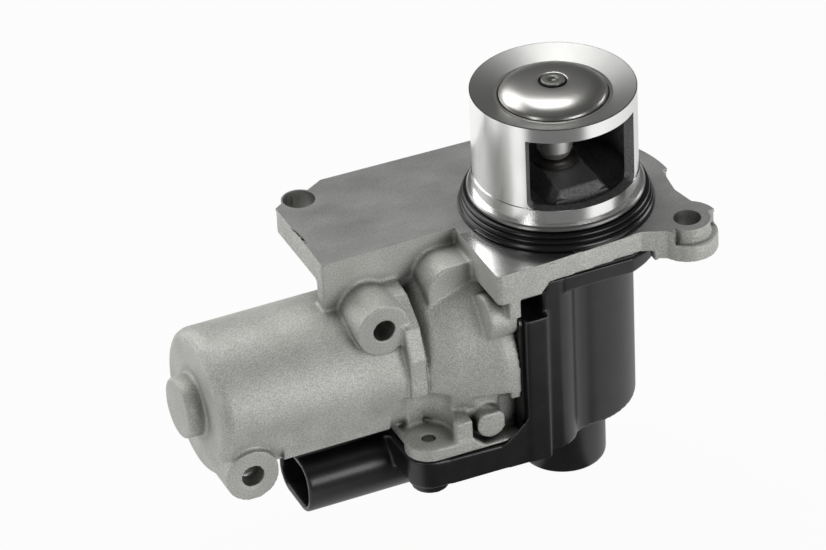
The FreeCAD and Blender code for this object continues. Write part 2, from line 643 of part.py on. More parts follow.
def spigot_seal():
    """Rubber ring at the root of the spigot, with two rounded beads."""
    inner, low, high = RING_SEAT_R + 0.1, -RING_BED, RING_TOP
    groove = (low + high) / 2
    waist = RING_R - 1.1
    return turned([(inner, low), (waist, low), (RING_R - 0.3, low + 0.6), (RING_R, low + 1.5),
                   (RING_R - 0.3, low + 2.3), (waist, groove), (RING_R - 0.6, groove + 0.6),
                   (RING_R - 0.6, high - 1.3), (RING_R - 1.2, high - 0.5), (waist - 1.2, high), (inner, high)],
                  Vector(0, 0, 0), Vector(0, 0, 1))


def coil_spring(low, high, mean_r, wire_r, turns):
    """A round-wire coil, faceted: six-sided rings along the helix, joined by flat faces."""
    steps, sides = 12, 6
    rise = (high - low - 2 * wire_r) / (turns * steps)
    rings = []
    for step in range(turns * steps + 1):
        turn = 2 * math.pi * step / steps
        ring = []
        for side in range(sides):
            around = 2 * math.pi * side / sides
            r = mean_r + wire_r * math.cos(around)
            z = low + wire_r + rise * step + wire_r * math.sin(around)
            ring.append(Vector(r * math.cos(turn), r * math.sin(turn), z))
        rings.append(ring)
    faces = []
    for this, following in zip(rings, rings[1:]):
        for side in range(sides):
            after = (side + 1) % sides
            faces.append(Part.Face(Part.makePolygon([this[side], this[after], following[after], this[side]])))
            faces.append(Part.Face(Part.makePolygon([this[side], following[after], following[side], this[side]])))
    for ring in (rings[0], rings[-1]):
        faces.append(Part.Face(Part.makePolygon(ring + ring[:1])))
    spring = Part.Solid(Part.Shell(faces))
    return spring if spring.Volume > 0 else spring.reversed()


def return_spring():
    return coil_spring(SPRING_LOW, -SEAL_LOW_DROP, SPRING_R, SPRING_WIRE, 4)


def spring_plate():
    inner = STEM_R + SEAT_FIT
    low = SPRING_LOW - SPRING_SEAT
    return turned([(inner, low), (SPRING_R + 2.0, low), (SPRING_R + 2.0, SPRING_LOW),
                   (SPRING_R - 1.4, SPRING_LOW), (SPRING_R - 1.8, SPRING_LOW + 1.2), (inner, SPRING_LOW + 1.2)],
                  Vector(0, 0, 0), Vector(0, 0, 1))


def spring_clip():
    low, high = SPRING_LOW - SPRING_SEAT - CLIP_THICK, SPRING_LOW - SPRING_SEAT
    clip = z_rod(low, high, 0, 0, STEM_R + 1.8).cut(z_rod(low, high, 0, 0, STEM_R - 0.5))
    return clip.cut(block(0, STEM_R + 3, -1.2, 1.2, low - 1, high + 1))


def yoke():
    """Sliding yoke on the stem: a cross slot for the crank roller."""
    slot_top = PIN_Z + SLOT_HALF
    reach = ROLLER_R + CRANK_R - math.cos(math.radians(CRANK_HALF_SWING)) * CRANK_R
    body = rounded(block(-YOKE_HALF, YOKE_HALF, -reach - YOKE_WALL, reach + YOKE_WALL, YOKE_LOW, slot_top + YOKE_WALL),
                   2.0, Vector(1, 0, 0))
    neck = z_rod(slot_top + YOKE_WALL - 1, YOKE_HIGH, 0, 0, STEM_R + 2.4)
    window = rounded(block(-YOKE_HALF - 1, YOKE_HALF + 1, -reach - 0.4, reach + 0.4, PIN_Z - SLOT_HALF, slot_top),
                     ROLLER_R - 0.4, Vector(1, 0, 0))
    return join(body, neck).cut([window, z_rod(STEM_LOW, YOKE_HIGH + 1, 0, 0, STEM_R)])


def gear_plate():
    """Steel plate in front of the motor that carries both gear axles and its three screws."""
    x0, x1 = PLATE_X, PLATE_X + GEAR_PLATE
    plate = x_rod(x0, x1, MOTOR_Y, MOTOR_Z, GEAR_PLATE_R)
    holes = [x_rod(x0 - 1, x1 + 1, MOTOR_Y, MOTOR_Z, SHAFT_R + 2.6),
             x_rod(x0 - 1, x1 + 1, IDLER_Y, IDLER_Z, AXLE_R),
             x_rod(x0 - 1, x1 + 1, OUTPUT_Y, OUTPUT_Z, AXLE_R)]
    holes += [x_rod(x0 - 1, x1 + 1, y, z, PLATE_SCREW_R + 0.2) for y, z in plate_screw_places()]
    return plate.cut(holes)


def plate_screw_places():
    ring = CAN_R - 5.0
    return [(MOTOR_Y + ring * math.cos(math.radians(a)), MOTOR_Z + ring * math.sin(math.radians(a)))
            for a in PLATE_SCREW_ANGLES]


def plate_screws():
    """Three slotted screws that hold the motor to the gear plate."""
    x1 = PLATE_X + GEAR_PLATE
    screws = []
    for y, z in plate_screw_places():
        shank = x_rod(PLATE_X - FRONT_PLATE, x1, y, z, PLATE_SCREW_R)
        head = x_rod(x1, x1 + 1.6, y, z, PLATE_SCREW_R * 1.9)
        screws.append(join(shank, head).cut(block(x1 + 1.0, x1 + 2, y - 2, y + 2, z - 0.3, z + 0.3)))
    return Part.makeCompound(screws)


def motor_can():
    outer = x_rod(CAN_LEFT, PLATE_X - FRONT_PLATE, MOTOR_Y, MOTOR_Z, CAN_R)
    inner = x_rod(CAN_LEFT + CAN_WALL, PLATE_X, MOTOR_Y, MOTOR_Z, CAN_R - CAN_WALL)
    nose = x_rod(CAN_LEFT - 1.2, CAN_LEFT + 4.0, MOTOR_Y, MOTOR_Z, BEARING_R + 1.5)
    bearing = x_rod(CAN_LEFT - 0.2, CAN_LEFT + 5.0, MOTOR_Y, MOTOR_Z, BEARING_R)
    return join(outer.cut(inner), nose).cut(bearing)


def motor_front_plate():
    x0, x1 = PLATE_X - FRONT_PLATE, PLATE_X
    plate = x_rod(x0, x1, MOTOR_Y, MOTOR_Z, CAN_R)
    cup = x_rod(x0 - 2.5, x0, MOTOR_Y, MOTOR_Z, BEARING_R + 1.5)
    holes = [x_rod(x0 - 3, x1 + 1, MOTOR_Y, MOTOR_Z, BEARING_R)]
    holes += [x_rod(x0 - 1, x1 + 1, y, z, PLATE_SCREW_R) for y, z in plate_screw_places()]
    return join(plate, cup).cut(holes)


def bearing(x0, x1):
    return x_rod(x0, x1, MOTOR_Y, MOTOR_Z, BEARING_R - SEAT_FIT).cut(
        x_rod(x0 - 1, x1 + 1, MOTOR_Y, MOTOR_Z, SHAFT_R + RUN_GAP))


def motor_magnets():
    """Two arc magnets bonded inside the can."""
    outer_r = CAN_R - CAN_WALL - SEAT_FIT
    ring = x_rod(ARMATURE_LEFT, ARMATURE_RIGHT, MOTOR_Y, MOTOR_Z, outer_r).cut(
        x_rod(ARMATURE_LEFT - 1, ARMATURE_RIGHT + 1, MOTOR_Y, MOTOR_Z, outer_r - MAGNET_THICK))
    gap = block(ARMATURE_LEFT - 1, ARMATURE_RIGHT + 1, MOTOR_Y - 30, MOTOR_Y + 30, MOTOR_Z - 5, MOTOR_Z + 5)
    return ring.cut(gap)


def slot_places():
    return [2 * math.pi * i / ARMATURE_SLOTS for i in range(ARMATURE_SLOTS)]


def slot_bar(x0, x1, angle, low_r, high_r, half):
    bar = block(x0, x1, MOTOR_Y - half, MOTOR_Y + half, MOTOR_Z + low_r, MOTOR_Z + high_r)
    bar.rotate(Vector(0, MOTOR_Y, MOTOR_Z), Vector(1, 0, 0), math.degrees(angle))
    return bar


def armature_core():
    core = x_rod(ARMATURE_LEFT, ARMATURE_RIGHT, MOTOR_Y, MOTOR_Z, ARMATURE_R).cut(
        x_rod(ARMATURE_LEFT - 1, ARMATURE_RIGHT + 1, MOTOR_Y, MOTOR_Z, SHAFT_R))
    slots = [slot_bar(ARMATURE_LEFT - 1, ARMATURE_RIGHT + 1, a, 5.5, ARMATURE_R - 1.6, 2.6) for a in slot_places()]
    mouths = [slot_bar(ARMATURE_LEFT - 1, ARMATURE_RIGHT + 1, a, 5.5, ARMATURE_R + 1, 0.8) for a in slot_places()]
    return core.cut(slots + mouths)


def windings():
    """Copper coils: bars in the slots and a ring of end turns at each side."""
    bars = [slot_bar(ARMATURE_LEFT, ARMATURE_RIGHT, a, 6.0, ARMATURE_R - 2.0, 2.3) for a in slot_places()]
    rings = []
    for side, start in ((-1, ARMATURE_LEFT), (1, ARMATURE_RIGHT)):
        rings.append(turned([(SHAFT_R + 1.5, 0), (ARMATURE_R - 1.5, 0), (ARMATURE_R - 1.5, side * 3.2),
                             (ARMATURE_R - 2.8, side * 4.5), (SHAFT_R + 2.8, side * 4.5), (SHAFT_R + 1.5, side * 3.2)],
                            Vector(start, MOTOR_Y, MOTOR_Z), Vector(1, 0, 0)))
    return join(rings[0], rings[1], *bars)


def commutator():
    ring = x_rod(COMMUTATOR_X, COMMUTATOR_X + 6.5, MOTOR_Y, MOTOR_Z, COMMUTATOR_R).cut(
        x_rod(COMMUTATOR_X - 1, COMMUTATOR_X + 8, MOTOR_Y, MOTOR_Z, SHAFT_R))
    return ring.cut([slot_bar(COMMUTATOR_X - 1, COMMUTATOR_X + 8, a, COMMUTATOR_R - 1.0, COMMUTATOR_R + 1, 0.3)
                     for a in slot_places()])


def brush_card():
    """Insulating ring that carries the two brushes."""
    x0 = COMMUTATOR_X + CARD_WALL
    x1 = x0 + BRUSH_WIDE + 0.4
    low, high = COMMUTATOR_R + 1.4, CAN_R - CAN_WALL - 1.1
    ring = x_rod(x0, x0 + CARD_THICK, MOTOR_Y, MOTOR_Z, CAN_R - CAN_WALL - 0.1).cut(
        x_rod(x0 - 1, x0 + CARD_THICK + 1, MOTOR_Y, MOTOR_Z, low - 0.2))
    half = BRUSH_HALF + 0.1 + CARD_WALL
    boxes = [block(x0 - 0.8, x1 + CARD_WALL, MOTOR_Y + y0, MOTOR_Y + y1, MOTOR_Z - half, MOTOR_Z + half)
             for y0, y1 in ((-high, -low), (low, high))]
    half = BRUSH_HALF + 0.1
    tunnel = block(x0 + 0.2, x1, MOTOR_Y - high + 1.4, MOTOR_Y + high - 1.4, MOTOR_Z - half, MOTOR_Z + half)
    return join(ring, *boxes).cut(tunnel)


def brushes():
    x0 = COMMUTATOR_X + CARD_WALL + 0.3
    low, high = COMMUTATOR_R + 0.1, COMMUTATOR_R + 0.1 + BRUSH_LONG
    return Part.makeCompound([
        block(x0, x0 + BRUSH_WIDE, MOTOR_Y + y0, MOTOR_Y + y1, MOTOR_Z - BRUSH_HALF, MOTOR_Z + BRUSH_HALF)
        for y0, y1 in ((-high, -low), (low, high))])


def motor_shaft():
    return x_rod(CAN_LEFT, WHEEL_X + WHEEL_WIDE + 1.0, MOTOR_Y, MOTOR_Z, SHAFT_R)


def spring_washer():
    """Conical washer that presses the motor towards the gear plate."""
    x0 = HOUSING_END + HOUSING_END_WALL
    return turned([(CAN_R - 4.0, 0), (CAN_R - 4.0, 0.6), (CAN_R - 9.0, CAN_LEFT - x0), (CAN_R - 9.0, CAN_LEFT - x0 - 0.6)],
                  Vector(x0, MOTOR_Y, MOTOR_Z), Vector(1, 0, 0))


def motor_pinion():
    gear = gear_x(PINION_TEETH, math.radians(IDLER_ANGLE), WHEEL_X - 0.5, WHEEL_X + WHEEL_WIDE + 0.5,
                  MOTOR_Y, MOTOR_Z)
    return gear.cut(x_rod(WHEEL_X - 2, WHEEL_X + WHEEL_WIDE + 2, MOTOR_Y, MOTOR_Z, SHAFT_R))


def idler_gear():
    """Moulded wheel and pinion in one, free on its axle."""
    x1 = WHEEL_X + WHEEL_WIDE
    phase = math.radians(IDLER_ANGLE + 180 + 180 / WHEEL_TEETH)
    wheel = gear_x(WHEEL_TEETH, phase, WHEEL_X, x1, IDLER_Y, IDLER_Z)
    web = [x_rod(x, x + 1.6, IDLER_Y, IDLER_Z, 11.0).cut(x_rod(x, x + 1.6, IDLER_Y, IDLER_Z, 5.4))
           for x in (WHEEL_X - 0.01, x1 - 1.59)]
    wheel = wheel.cut(web)
    towards_output = math.atan2(OUTPUT_Z - IDLER_Z, OUTPUT_Y - IDLER_Y)
    pinion = gear_x(IDLER_TEETH, towards_output, x1, OUTPUT_X + OUTPUT_WIDE + 0.5, IDLER_Y, IDLER_Z)
    return join(wheel, pinion).cut(x_rod(WHEEL_X - 1, OUTPUT_X + OUTPUT_WIDE + 2, IDLER_Y, IDLER_Z, AXLE_R + RUN_GAP))


def axle(y, z, x1):
    return x_rod(PLATE_X, x1, y, z, AXLE_R)


def output_gear():
    """Gear sector with its hub and the crank arm."""
    x0, x1 = OUTPUT_X, OUTPUT_X + OUTPUT_WIDE
    pitch = 2 * math.pi / OUTPUT_TEETH
    towards_idler = math.atan2(IDLER_Z - OUTPUT_Z, IDLER_Y - OUTPUT_Y)
    swing = math.radians(2 * CRANK_HALF_SWING)
    before = int(swing / pitch) + 3
    phase = towards_idler + pitch / 2 - before * pitch
    outline = tooth_outline(OUTPUT_TEETH, phase, 0, before + 3)
    rim = prism_x([(OUTPUT_Y, OUTPUT_Z)] + [(OUTPUT_Y + py, OUTPUT_Z + pz) for py, pz in outline], x0, x1)
    relief = x_rod(x0 - 1, x0 + 1.6, OUTPUT_Y, OUTPUT_Z, 12.6).cut(
        x_rod(x0 - 1, x0 + 1.6, OUTPUT_Y, OUTPUT_Z, HUB_R))
    hub = x_rod(x0 - HUB_BACK, ARM_X + ARM_WIDE, OUTPUT_Y, OUTPUT_Z, HUB_R)
    arm = prism_x([(OUTPUT_Y + 1.5, OUTPUT_Z + HUB_R - 0.3), (PIN_Y + 2.0, PIN_Z + 4.0), (PIN_Y - 3.0, PIN_Z - 3.2),
                   (OUTPUT_Y - 3.4, OUTPUT_Z - HUB_R + 1.4)], ARM_X, ARM_X + ARM_WIDE)
    eye = x_rod(ARM_X, ARM_X + ARM_WIDE, PIN_Y, PIN_Z, PIN_R + 2.4)
    body = join(rim.cut(relief), hub, arm, eye)
    return body.cut([x_rod(x0 - 12, ARM_X + ARM_WIDE - 1.6, OUTPUT_Y, OUTPUT_Z, AXLE_R + RUN_GAP),
                     x_rod(ARM_X - 1, ARM_X + ARM_WIDE + 1, PIN_Y, PIN_Z, PIN_R)])


def crank_pin():
    pin = x_rod(ARM_X, PIN_END, PIN_Y, PIN_Z, PIN_R)
    return join(pin, x_rod(PIN_END - 0.8, PIN_END, PIN_Y, PIN_Z, PIN_R + 0.8))


def crank_roller():
    x0, x1 = -YOKE_HALF - 0.3, YOKE_HALF + 0.3
    return x_rod(x0, x1, PIN_Y, PIN_Z, ROLLER_R).cut(x_rod(x0 - 1, x1 + 1, PIN_Y, PIN_Z, PIN_R + RUN_GAP))


def cover_plan(inset, left):
    """Plan outline of the cover: a flat front, an S curve and the half-round end, as a wire at z 0."""
    front = BAND_FRONT - inset
    end_r = BULGE_R - inset
    join_x = -1.2
    join_y = math.sqrt(end_r ** 2 - join_x ** 2)
    flat_end = Vector(-13.4, -front, 0)
    turn = Vector(-6.9, -front + 4.3, 0)
    meet = Vector(join_x, -join_y, 0)
    near = [Part.makeLine(Vector(left, -front, 0), flat_end),
            Part.Arc(flat_end, Vector(-9.5, -front + 1.5, 0), turn).toShape(),
            Part.Arc(turn, Vector(-4.5, (-front + 4.3 - join_y) / 2 + 0.45, 0), meet).toShape()]
    around = Part.Arc(meet, Vector(end_r, 0, 0), Vector(join_x, join_y, 0)).toShape()
    far = [e.mirror(Vector(0, 0, 0), Vector(0, 1, 0)) for e in near]
    close = Part.makeLine(Vector(left, front, 0), Vector(left, -front, 0))
    edges = near + [around] + far + [close]
    return Part.Wire(Part.__sortEdges__(edges))


def cover_prism(inset, left, z0, z1):
    wire = cover_plan(inset, left)
    wire.translate(Vector(0, 0, z0))
    return Part.Face(wire).extrude(Vector(0, 0, z1 - z0))


def connector_block(grow, x0, x1):
    half = CONNECTOR_HALF - grow
    body = block(x0, x1, CONNECTOR_Y - half, CONNECTOR_Y + half, CONNECTOR_LOW + grow, CONNECTOR_TOP - grow)
    return rounded(body, CONNECTOR_ROUND - grow, Vector(1, 0, 0))


def cover_base():
    """Foot of the cover under the casting, with its two screw lugs."""
    top = GEARBOX_LOW - BASE_GAP
    slab = prism_z([(BASE_LEFT, 24), (BASE_LEFT, TAB_Y), (TAB_X, TAB_Y - LUG_R), (COVER_LEFT + 1, -COVER_FRONT + 0.4),
                    (COVER_LEFT + 1, COVER_FRONT - 0.4), (TAB_X + 4, COVER_FRONT - 0.4)], COVER_LOW, top)
    parts = [slab]
    for y in (TAB_Y, BACK_TAB_Y):
        parts.append(z_rod(COVER_LOW, GEARBOX_LOW, TAB_X, y, LUG_R))
        parts.append(z_rod(COVER_LOW - LUG_DROP, COVER_LOW + 1, TAB_X, y, LUG_R - 1.8))
    gusset = prism_y([(COVER_LEFT - GUSSET - 1.2, top - 0.1), (COVER_LEFT + 0.1, top + GUSSET), (COVER_LEFT + 0.1, top - 0.1)],
                     -COVER_FRONT + 0.4, -GEARBOX_FRONT - 0.2)
    return join(*parts, gusset)


def gear_cover():
    """One moulding: gear cover, base, connector shell and sensor cup."""
    top = -POCKET_THICK - TOP_SEAL
    low_top = -FLANGE_THICK - BASE_GAP
    strip = rounded(block(COVER_LEFT, STRIP_RIGHT, -COVER_FRONT, COVER_FRONT, COVER_LOW, STRIP_TOP),
                    0.8, Vector(0, 0, 1))
    body = cover_prism(0, COVER_LEFT, COVER_LOW + 0.6, low_top)
    upper = cover_prism(0, STRIP_RIGHT, low_top - 1, top)
    band_low = top - BAND_THICK + TOP_SEAL
    band = z_rod(band_low, top, 0, 0, BAND_R).common(
        block(STRIP_RIGHT, BAND_R, -BAND_FRONT, BAND_FRONT, band_low, top))
    slope = FLANGE_THICK - POCKET_THICK
    left = STRIP_RIGHT - 1.2
    shoulder = prism_y([(left - 4, -FLANGE_THICK), (left, -FLANGE_THICK), (left + slope, 0.8 - POCKET_THICK),
                        (left - 4, 0.8 - POCKET_THICK)], -COVER_FRONT - 1, COVER_FRONT + 1)
    cup = turned([(0, CUP_LOW), (CUP_R - 1.2, CUP_LOW), (CUP_R - 0.3, CUP_LOW + 0.4), (CUP_R, CUP_LOW + 1.3),
                  (CUP_R, COVER_LOW + 2), (0, COVER_LOW + 2)], Vector(0, 0, 0), Vector(0, 0, 1))
    connector = connector_block(0, CONNECTOR_MOUTH, CONNECTOR_ROOT)
    shell = join(body, upper, strip, band, cup, cover_base(), connector)
    low = COVER_LOW + COVER_WALL + 0.6
    middle = STRIP_TOP - COVER_WALL
    notch = block(COVER_LEFT - 1, STRIP_RIGHT - 0.9, -COVER_FRONT - 1, -NOTCH_DEEP, STRIP_TOP, 0)
    deep = cover_prism(COVER_WALL, COVER_LEFT - 1, low, middle)
    mid = cover_prism(COVER_WALL, COVER_LEFT - 1, middle - 0.1, low_top - COVER_WALL).cut(
        block(COVER_LEFT - 2, STRIP_RIGHT + 2.4, -COVER_FRONT, -NOTCH_DEEP + COVER_WALL, middle, 0))
    neck = cover_prism(COVER_WALL, STRIP_RIGHT + COVER_WALL, low_top - COVER_WALL - 0.1, top + 1)
    clear_left = BASE_LEFT - 40
    cuts = [shoulder, notch, deep, mid, neck,
            z_rod(CUP_LOW + COVER_WALL, low + 1, 0, 0, CUP_R - COVER_WALL),
            connector_block(CONNECTOR_WALL, CONNECTOR_MOUTH - 1, CONNECTOR_MOUTH + CONNECTOR_DEPTH),
            x_rod(clear_left, COLLAR_X + COLLAR_WIDTH + 0.4, MOTOR_Y, MOTOR_Z, COLLAR_R + 0.4),
            x_rod(clear_left, COVER_LEFT - 0.01, MOTOR_Y, MOTOR_Z, GEAR_PLATE_R + GEARBOX_WALL + 0.4)]
    cuts += [z_rod(COVER_LOW + 1.5, GEARBOX_LOW, TAB_X, y, SCREW_R - 0.2) for y in (TAB_Y, BACK_TAB_Y)]
    cuts += terminal_slots() + [x_rod(COVER_LEFT - 1, COVER_LEFT + DOWEL_DEEP, y, z, DOWEL_R) for y, z in DOWELS]
    return shell.cut(cuts)


def terminal_places():
    pitch = TERMINAL_PITCH
    middle_z = (CONNECTOR_TOP + CONNECTOR_LOW) / 2
    return [(CONNECTOR_Y + (i - (TERMINALS - 1) / 2) * pitch, middle_z) for i in range(TERMINALS)]


def terminal_bar(grow, y, z):
    x0 = CONNECTOR_MOUTH + 6.0
    return block(x0, CONNECTOR_ROOT - 6.0, y - 0.7 - grow, y + 0.7 + grow, z - 0.4 - grow, z + 0.4 + grow)


def terminal_slots():
    return [terminal_bar(SEAT_FIT, y, z) for y, z in terminal_places()]


def terminals():
    return Part.makeCompound([terminal_bar(0, y, z) for y, z in terminal_places()])


def cover_gasket():
    """Flat gasket between the casting and the cover, around the gear opening."""
    outer = rounded(block(MATING_X, COVER_LEFT, -GEARBOX_FRONT + 1.2, GEARBOX_FRONT - 1.2, GEARBOX_LOW + 1, STRIP_TOP + 1),
                    4.0, Vector(1, 0, 0))
    outer = join(outer, x_rod(MATING_X, COVER_LEFT, MOTOR_Y, MOTOR_Z, GEAR_PLATE_R + GEARBOX_WALL - 0.4))
    opening = x_rod(MATING_X - 1, COVER_LEFT + 1, MOTOR_Y, MOTOR_Z, GEAR_PLATE_R + 0.2)
    idler = x_rod(MATING_X - 1, COVER_LEFT + 1, IDLER_Y, IDLER_Z, WHEEL_POCKET_R)
    pins = [x_rod(MATING_X - 1, COVER_LEFT + 1, y, z, DOWEL_R + 0.3) for y, z in DOWELS]
    return outer.cut([opening, idler] + pins)


def top_seal():
    """Rubber ring on the cover's top band, around the valve stem chamber."""
    z0, z1 = -POCKET_THICK - TOP_SEAL, -POCKET_THICK
    left = STRIP_RIGHT + 1.3
    disc = z_rod(z0, z1, 0, 0, BAND_R - 0.6).common(
        block(left, BAND_R, -BAND_FRONT + 0.6, BAND_FRONT - 0.6, z0, z1))
    ring = join(disc, cover_prism(0.6, left, z0, z1))
    return ring.cut(cover_prism(COVER_WALL, STRIP_RIGHT + COVER_WALL, z0 - 1, z1 + 1))


def dowels():
    half = DOWEL_DEEP - 0.2
    return Part.makeCompound([x_rod(MATING_X - half, COVER_LEFT + half, y, z, DOWEL_R - SEAT_FIT)
                              for y, z in DOWELS])


def cover_screws():
    """Screws from below through the cover's lugs into the casting's tabs."""
    top = GEARBOX_LOW + TAB_THICK - 0.8
    screws = []
    for y in (TAB_Y, BACK_TAB_Y):
        shank = z_rod(COVER_LOW + 1.5, top, TAB_X, y, SCREW_R - 0.25)
        screws.append(shank)
    return Part.makeCompound(screws)


def sensor_guide():
    """Guide block of the travel sensor in the cup, with the plunger's bore."""
    low, high = CUP_LOW + COVER_WALL, COVER_LOW + 1.0
    outer = z_rod(low, high, 0, 0, CUP_R - COVER_WALL - SEAT_FIT)
    return outer.cut([z_rod(low - 1, high - 4, 0, 0, SENSOR_BORE_R), z_rod(low, high + 1, 0, 0, PLUNGER_R + RUN_GAP)])


def sensor_plunger():
    flange_low = SENSOR_SPRING_HIGH
    rod = z_rod(flange_low, YOKE_LOW, 0, 0, PLUNGER_R)
    flange = z_rod(flange_low, flange_low + 1.6, 0, 0, SENSOR_BORE_R - 0.3)
    return join(rod, flange)


def sensor_spring():
    return coil_spring(CUP_LOW + COVER_WALL, SENSOR_SPRING_HIGH, SENSOR_BORE_R - 1.4, 0.4, 5)


def export(parts):
    os.makedirs("parts", exist_ok=True)
    for name, shape in parts.items():
        for solid in shape.Solids:
            if not solid.isValid():
                print("not valid:", name)
        placed = shape.translated(Vector(0, 0, -LIP_HIGH))
        placed.exportStep("parts/" + name + ".step")
        print(name, len(shape.Solids), round(shape.Volume))


def main():
    parts = {
        "casting": casting(), "seat_ring": seat_ring(), "valve_head": valve_head(),
        "valve_stem": valve_stem(), "stem_shield": stem_shield(), "guide_bush": guide_bush(),
        "stem_seal": stem_seal(), "spigot_seal": spigot_seal(), "return_spring": return_spring(),
        "spring_plate": spring_plate(), "spring_clip": spring_clip(), "yoke": yoke(),
        "gear_plate": gear_plate(), "plate_screws": plate_screws(), "motor_can": motor_can(),
        "motor_front_plate": motor_front_plate(),
        "rear_bearing": bearing(CAN_LEFT - 0.2 + SEAT_FIT, CAN_LEFT + 4.0),
        "front_bearing": bearing(PLATE_X - FRONT_PLATE - 2.5, PLATE_X), "motor_magnets": motor_magnets(),
        "armature_core": armature_core(), "windings": windings(), "commutator": commutator(),
        "brush_card": brush_card(), "brushes": brushes(), "motor_shaft": motor_shaft(),
        "spring_washer": spring_washer(), "motor_pinion": motor_pinion(), "idler_gear": idler_gear(),
        "idler_axle": axle(IDLER_Y, IDLER_Z, OUTPUT_X + OUTPUT_WIDE + 1.5), "output_gear": output_gear(),
        "output_axle": axle(OUTPUT_Y, OUTPUT_Z, ARM_X + ARM_WIDE - 2.0), "crank_pin": crank_pin(),
        "crank_roller": crank_roller(), "gear_cover": gear_cover(), "cover_gasket": cover_gasket(),
        "top_seal": top_seal(), "cover_dowels": dowels(), "cover_screws": cover_screws(),
        "terminals": terminals(), "sensor_guide": sensor_guide(), "sensor_plunger": sensor_plunger(),
        "sensor_spring": sensor_spring(),
    }
    export(parts)


main()
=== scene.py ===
# %% [markdown]
# An exhaust gas recirculation valve, dressed for its picture. The CAD model already gives every
# piece its size and place. Here the cast, turned, moulded and rubber parts get the soft edges and
# the finishes that the real ones show.

import json
import math

import bmesh
import bpy
from mathutils import Matrix, Vector


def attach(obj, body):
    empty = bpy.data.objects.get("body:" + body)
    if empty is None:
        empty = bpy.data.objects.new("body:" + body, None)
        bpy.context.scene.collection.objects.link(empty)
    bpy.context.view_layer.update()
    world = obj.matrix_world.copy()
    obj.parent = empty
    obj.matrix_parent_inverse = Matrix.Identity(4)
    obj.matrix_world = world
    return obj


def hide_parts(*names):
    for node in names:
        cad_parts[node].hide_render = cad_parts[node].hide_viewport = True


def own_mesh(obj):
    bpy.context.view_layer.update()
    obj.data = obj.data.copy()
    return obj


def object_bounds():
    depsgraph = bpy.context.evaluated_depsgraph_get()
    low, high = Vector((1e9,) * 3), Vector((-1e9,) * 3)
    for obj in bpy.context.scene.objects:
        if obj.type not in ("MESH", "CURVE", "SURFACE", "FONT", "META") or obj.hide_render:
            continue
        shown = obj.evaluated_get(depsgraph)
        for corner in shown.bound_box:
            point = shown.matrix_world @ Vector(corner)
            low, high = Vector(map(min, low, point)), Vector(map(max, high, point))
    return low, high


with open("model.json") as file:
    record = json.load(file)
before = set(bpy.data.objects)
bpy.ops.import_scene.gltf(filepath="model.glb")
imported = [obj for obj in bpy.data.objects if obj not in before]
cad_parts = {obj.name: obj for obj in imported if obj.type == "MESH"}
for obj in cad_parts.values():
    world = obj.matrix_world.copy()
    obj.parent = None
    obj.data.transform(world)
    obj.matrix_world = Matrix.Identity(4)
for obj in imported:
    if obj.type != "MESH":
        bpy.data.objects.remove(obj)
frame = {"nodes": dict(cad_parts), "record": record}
cad_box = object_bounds()
nodes = frame["nodes"]
scene = bpy.context.scene
scene.view_settings.view_transform = "Standard"
print("pieces in the frame:", len(nodes))

# %% [markdown]
# All lengths below are in millimetres as on a drawing, measured from the flange's machined face.
# The frame's own origin is 7.4 mm higher, where the spigot leaves its lip, so one helper turns a
# drawing place into the frame's metres, and another turns it back. The valve's axis is x = 0, y = 0.

# %% Places on the drawing
MM = 0.001
FLANGE_FACE = -7.4


def place(x, y, z):
    return Vector((x * MM, y * MM, (z + FLANGE_FACE) * MM))


def drawing(point):
    return point.x / MM, point.y / MM, point.z / MM - FLANGE_FACE


SEAT_TOP = 39.0
print("valve seat at", place(0, 0, SEAT_TOP))

# %% [markdown]
# The picture is taken with a long lens from the front left and above. The camera's place and its
# three axes come from the ellipses of the spigot and the straight edges of the gasket plate. The
# lens is given by its focal length in pixels, which a sensor width turns into millimetres.

# %% Camera
EYE = place(-600.8, -1303.6, 921.4)
RIGHT = Vector((0.91021, -0.41239, -0.03812))
UP = Vector((0.25649, 0.48905, 0.83369))
FORWARD = Vector((0.32517, 0.76861, -0.55091))
FOCAL_PIXELS = 5500.0
PICTURE_PIXELS = 826.0
SENSOR_WIDTH = 36.0

camera_data = bpy.data.cameras.new("camera")
camera_data.sensor_width = SENSOR_WIDTH
camera_data.lens = FOCAL_PIXELS * SENSOR_WIDTH / PICTURE_PIXELS
camera_data.clip_end = 20.0
camera = bpy.data.objects.new("camera", camera_data)
turn = Matrix((RIGHT, UP, -FORWARD)).transposed().to_4x4()
camera.matrix_world = Matrix.Translation(EYE) @ turn
scene.collection.objects.link(camera)
scene.camera = camera
print("lens:", round(camera_data.lens, 1), "mm")

# %% [markdown]
# A finish is one Principled shader with a few nodes in front of it. Four short helpers make the
# shader, find it again, add a node with its settings, and join two sockets. Constants go straight
# on the shader.

# %% A plain finish
def finish(name, colour, metallic=0.0, roughness=0.5):
    made = bpy.data.materials.new(name)
    made.use_nodes = True
    shader = shader_of(made)
    shader.inputs["Base Color"].default_value = (*colour, 1.0)
    shader.inputs["Metallic"].default_value = metallic
    shader.inputs["Roughness"].default_value = roughness
    return made


def shader_of(made):
    return made.node_tree.nodes["Principled BSDF"]


def add(made, kind, **settings):
    node = made.node_tree.nodes.new(kind)
    for key, value in settings.items():
        if key in node.inputs:
            node.inputs[key].default_value = value
        else:
            setattr(node, key, value)
    return node


def wire(made, source, target):
    made.node_tree.links.new(source, target)


print("finish tools ready")

# %% [markdown]
# Real surfaces are never one flat tone. A noise of a known grain size is turned into two tones for
# the colour, or into small heights for a bump. Sizes are in millimetres, and Object coordinates keep
# the pattern fixed on the piece, whichever way it is moved or looked at.

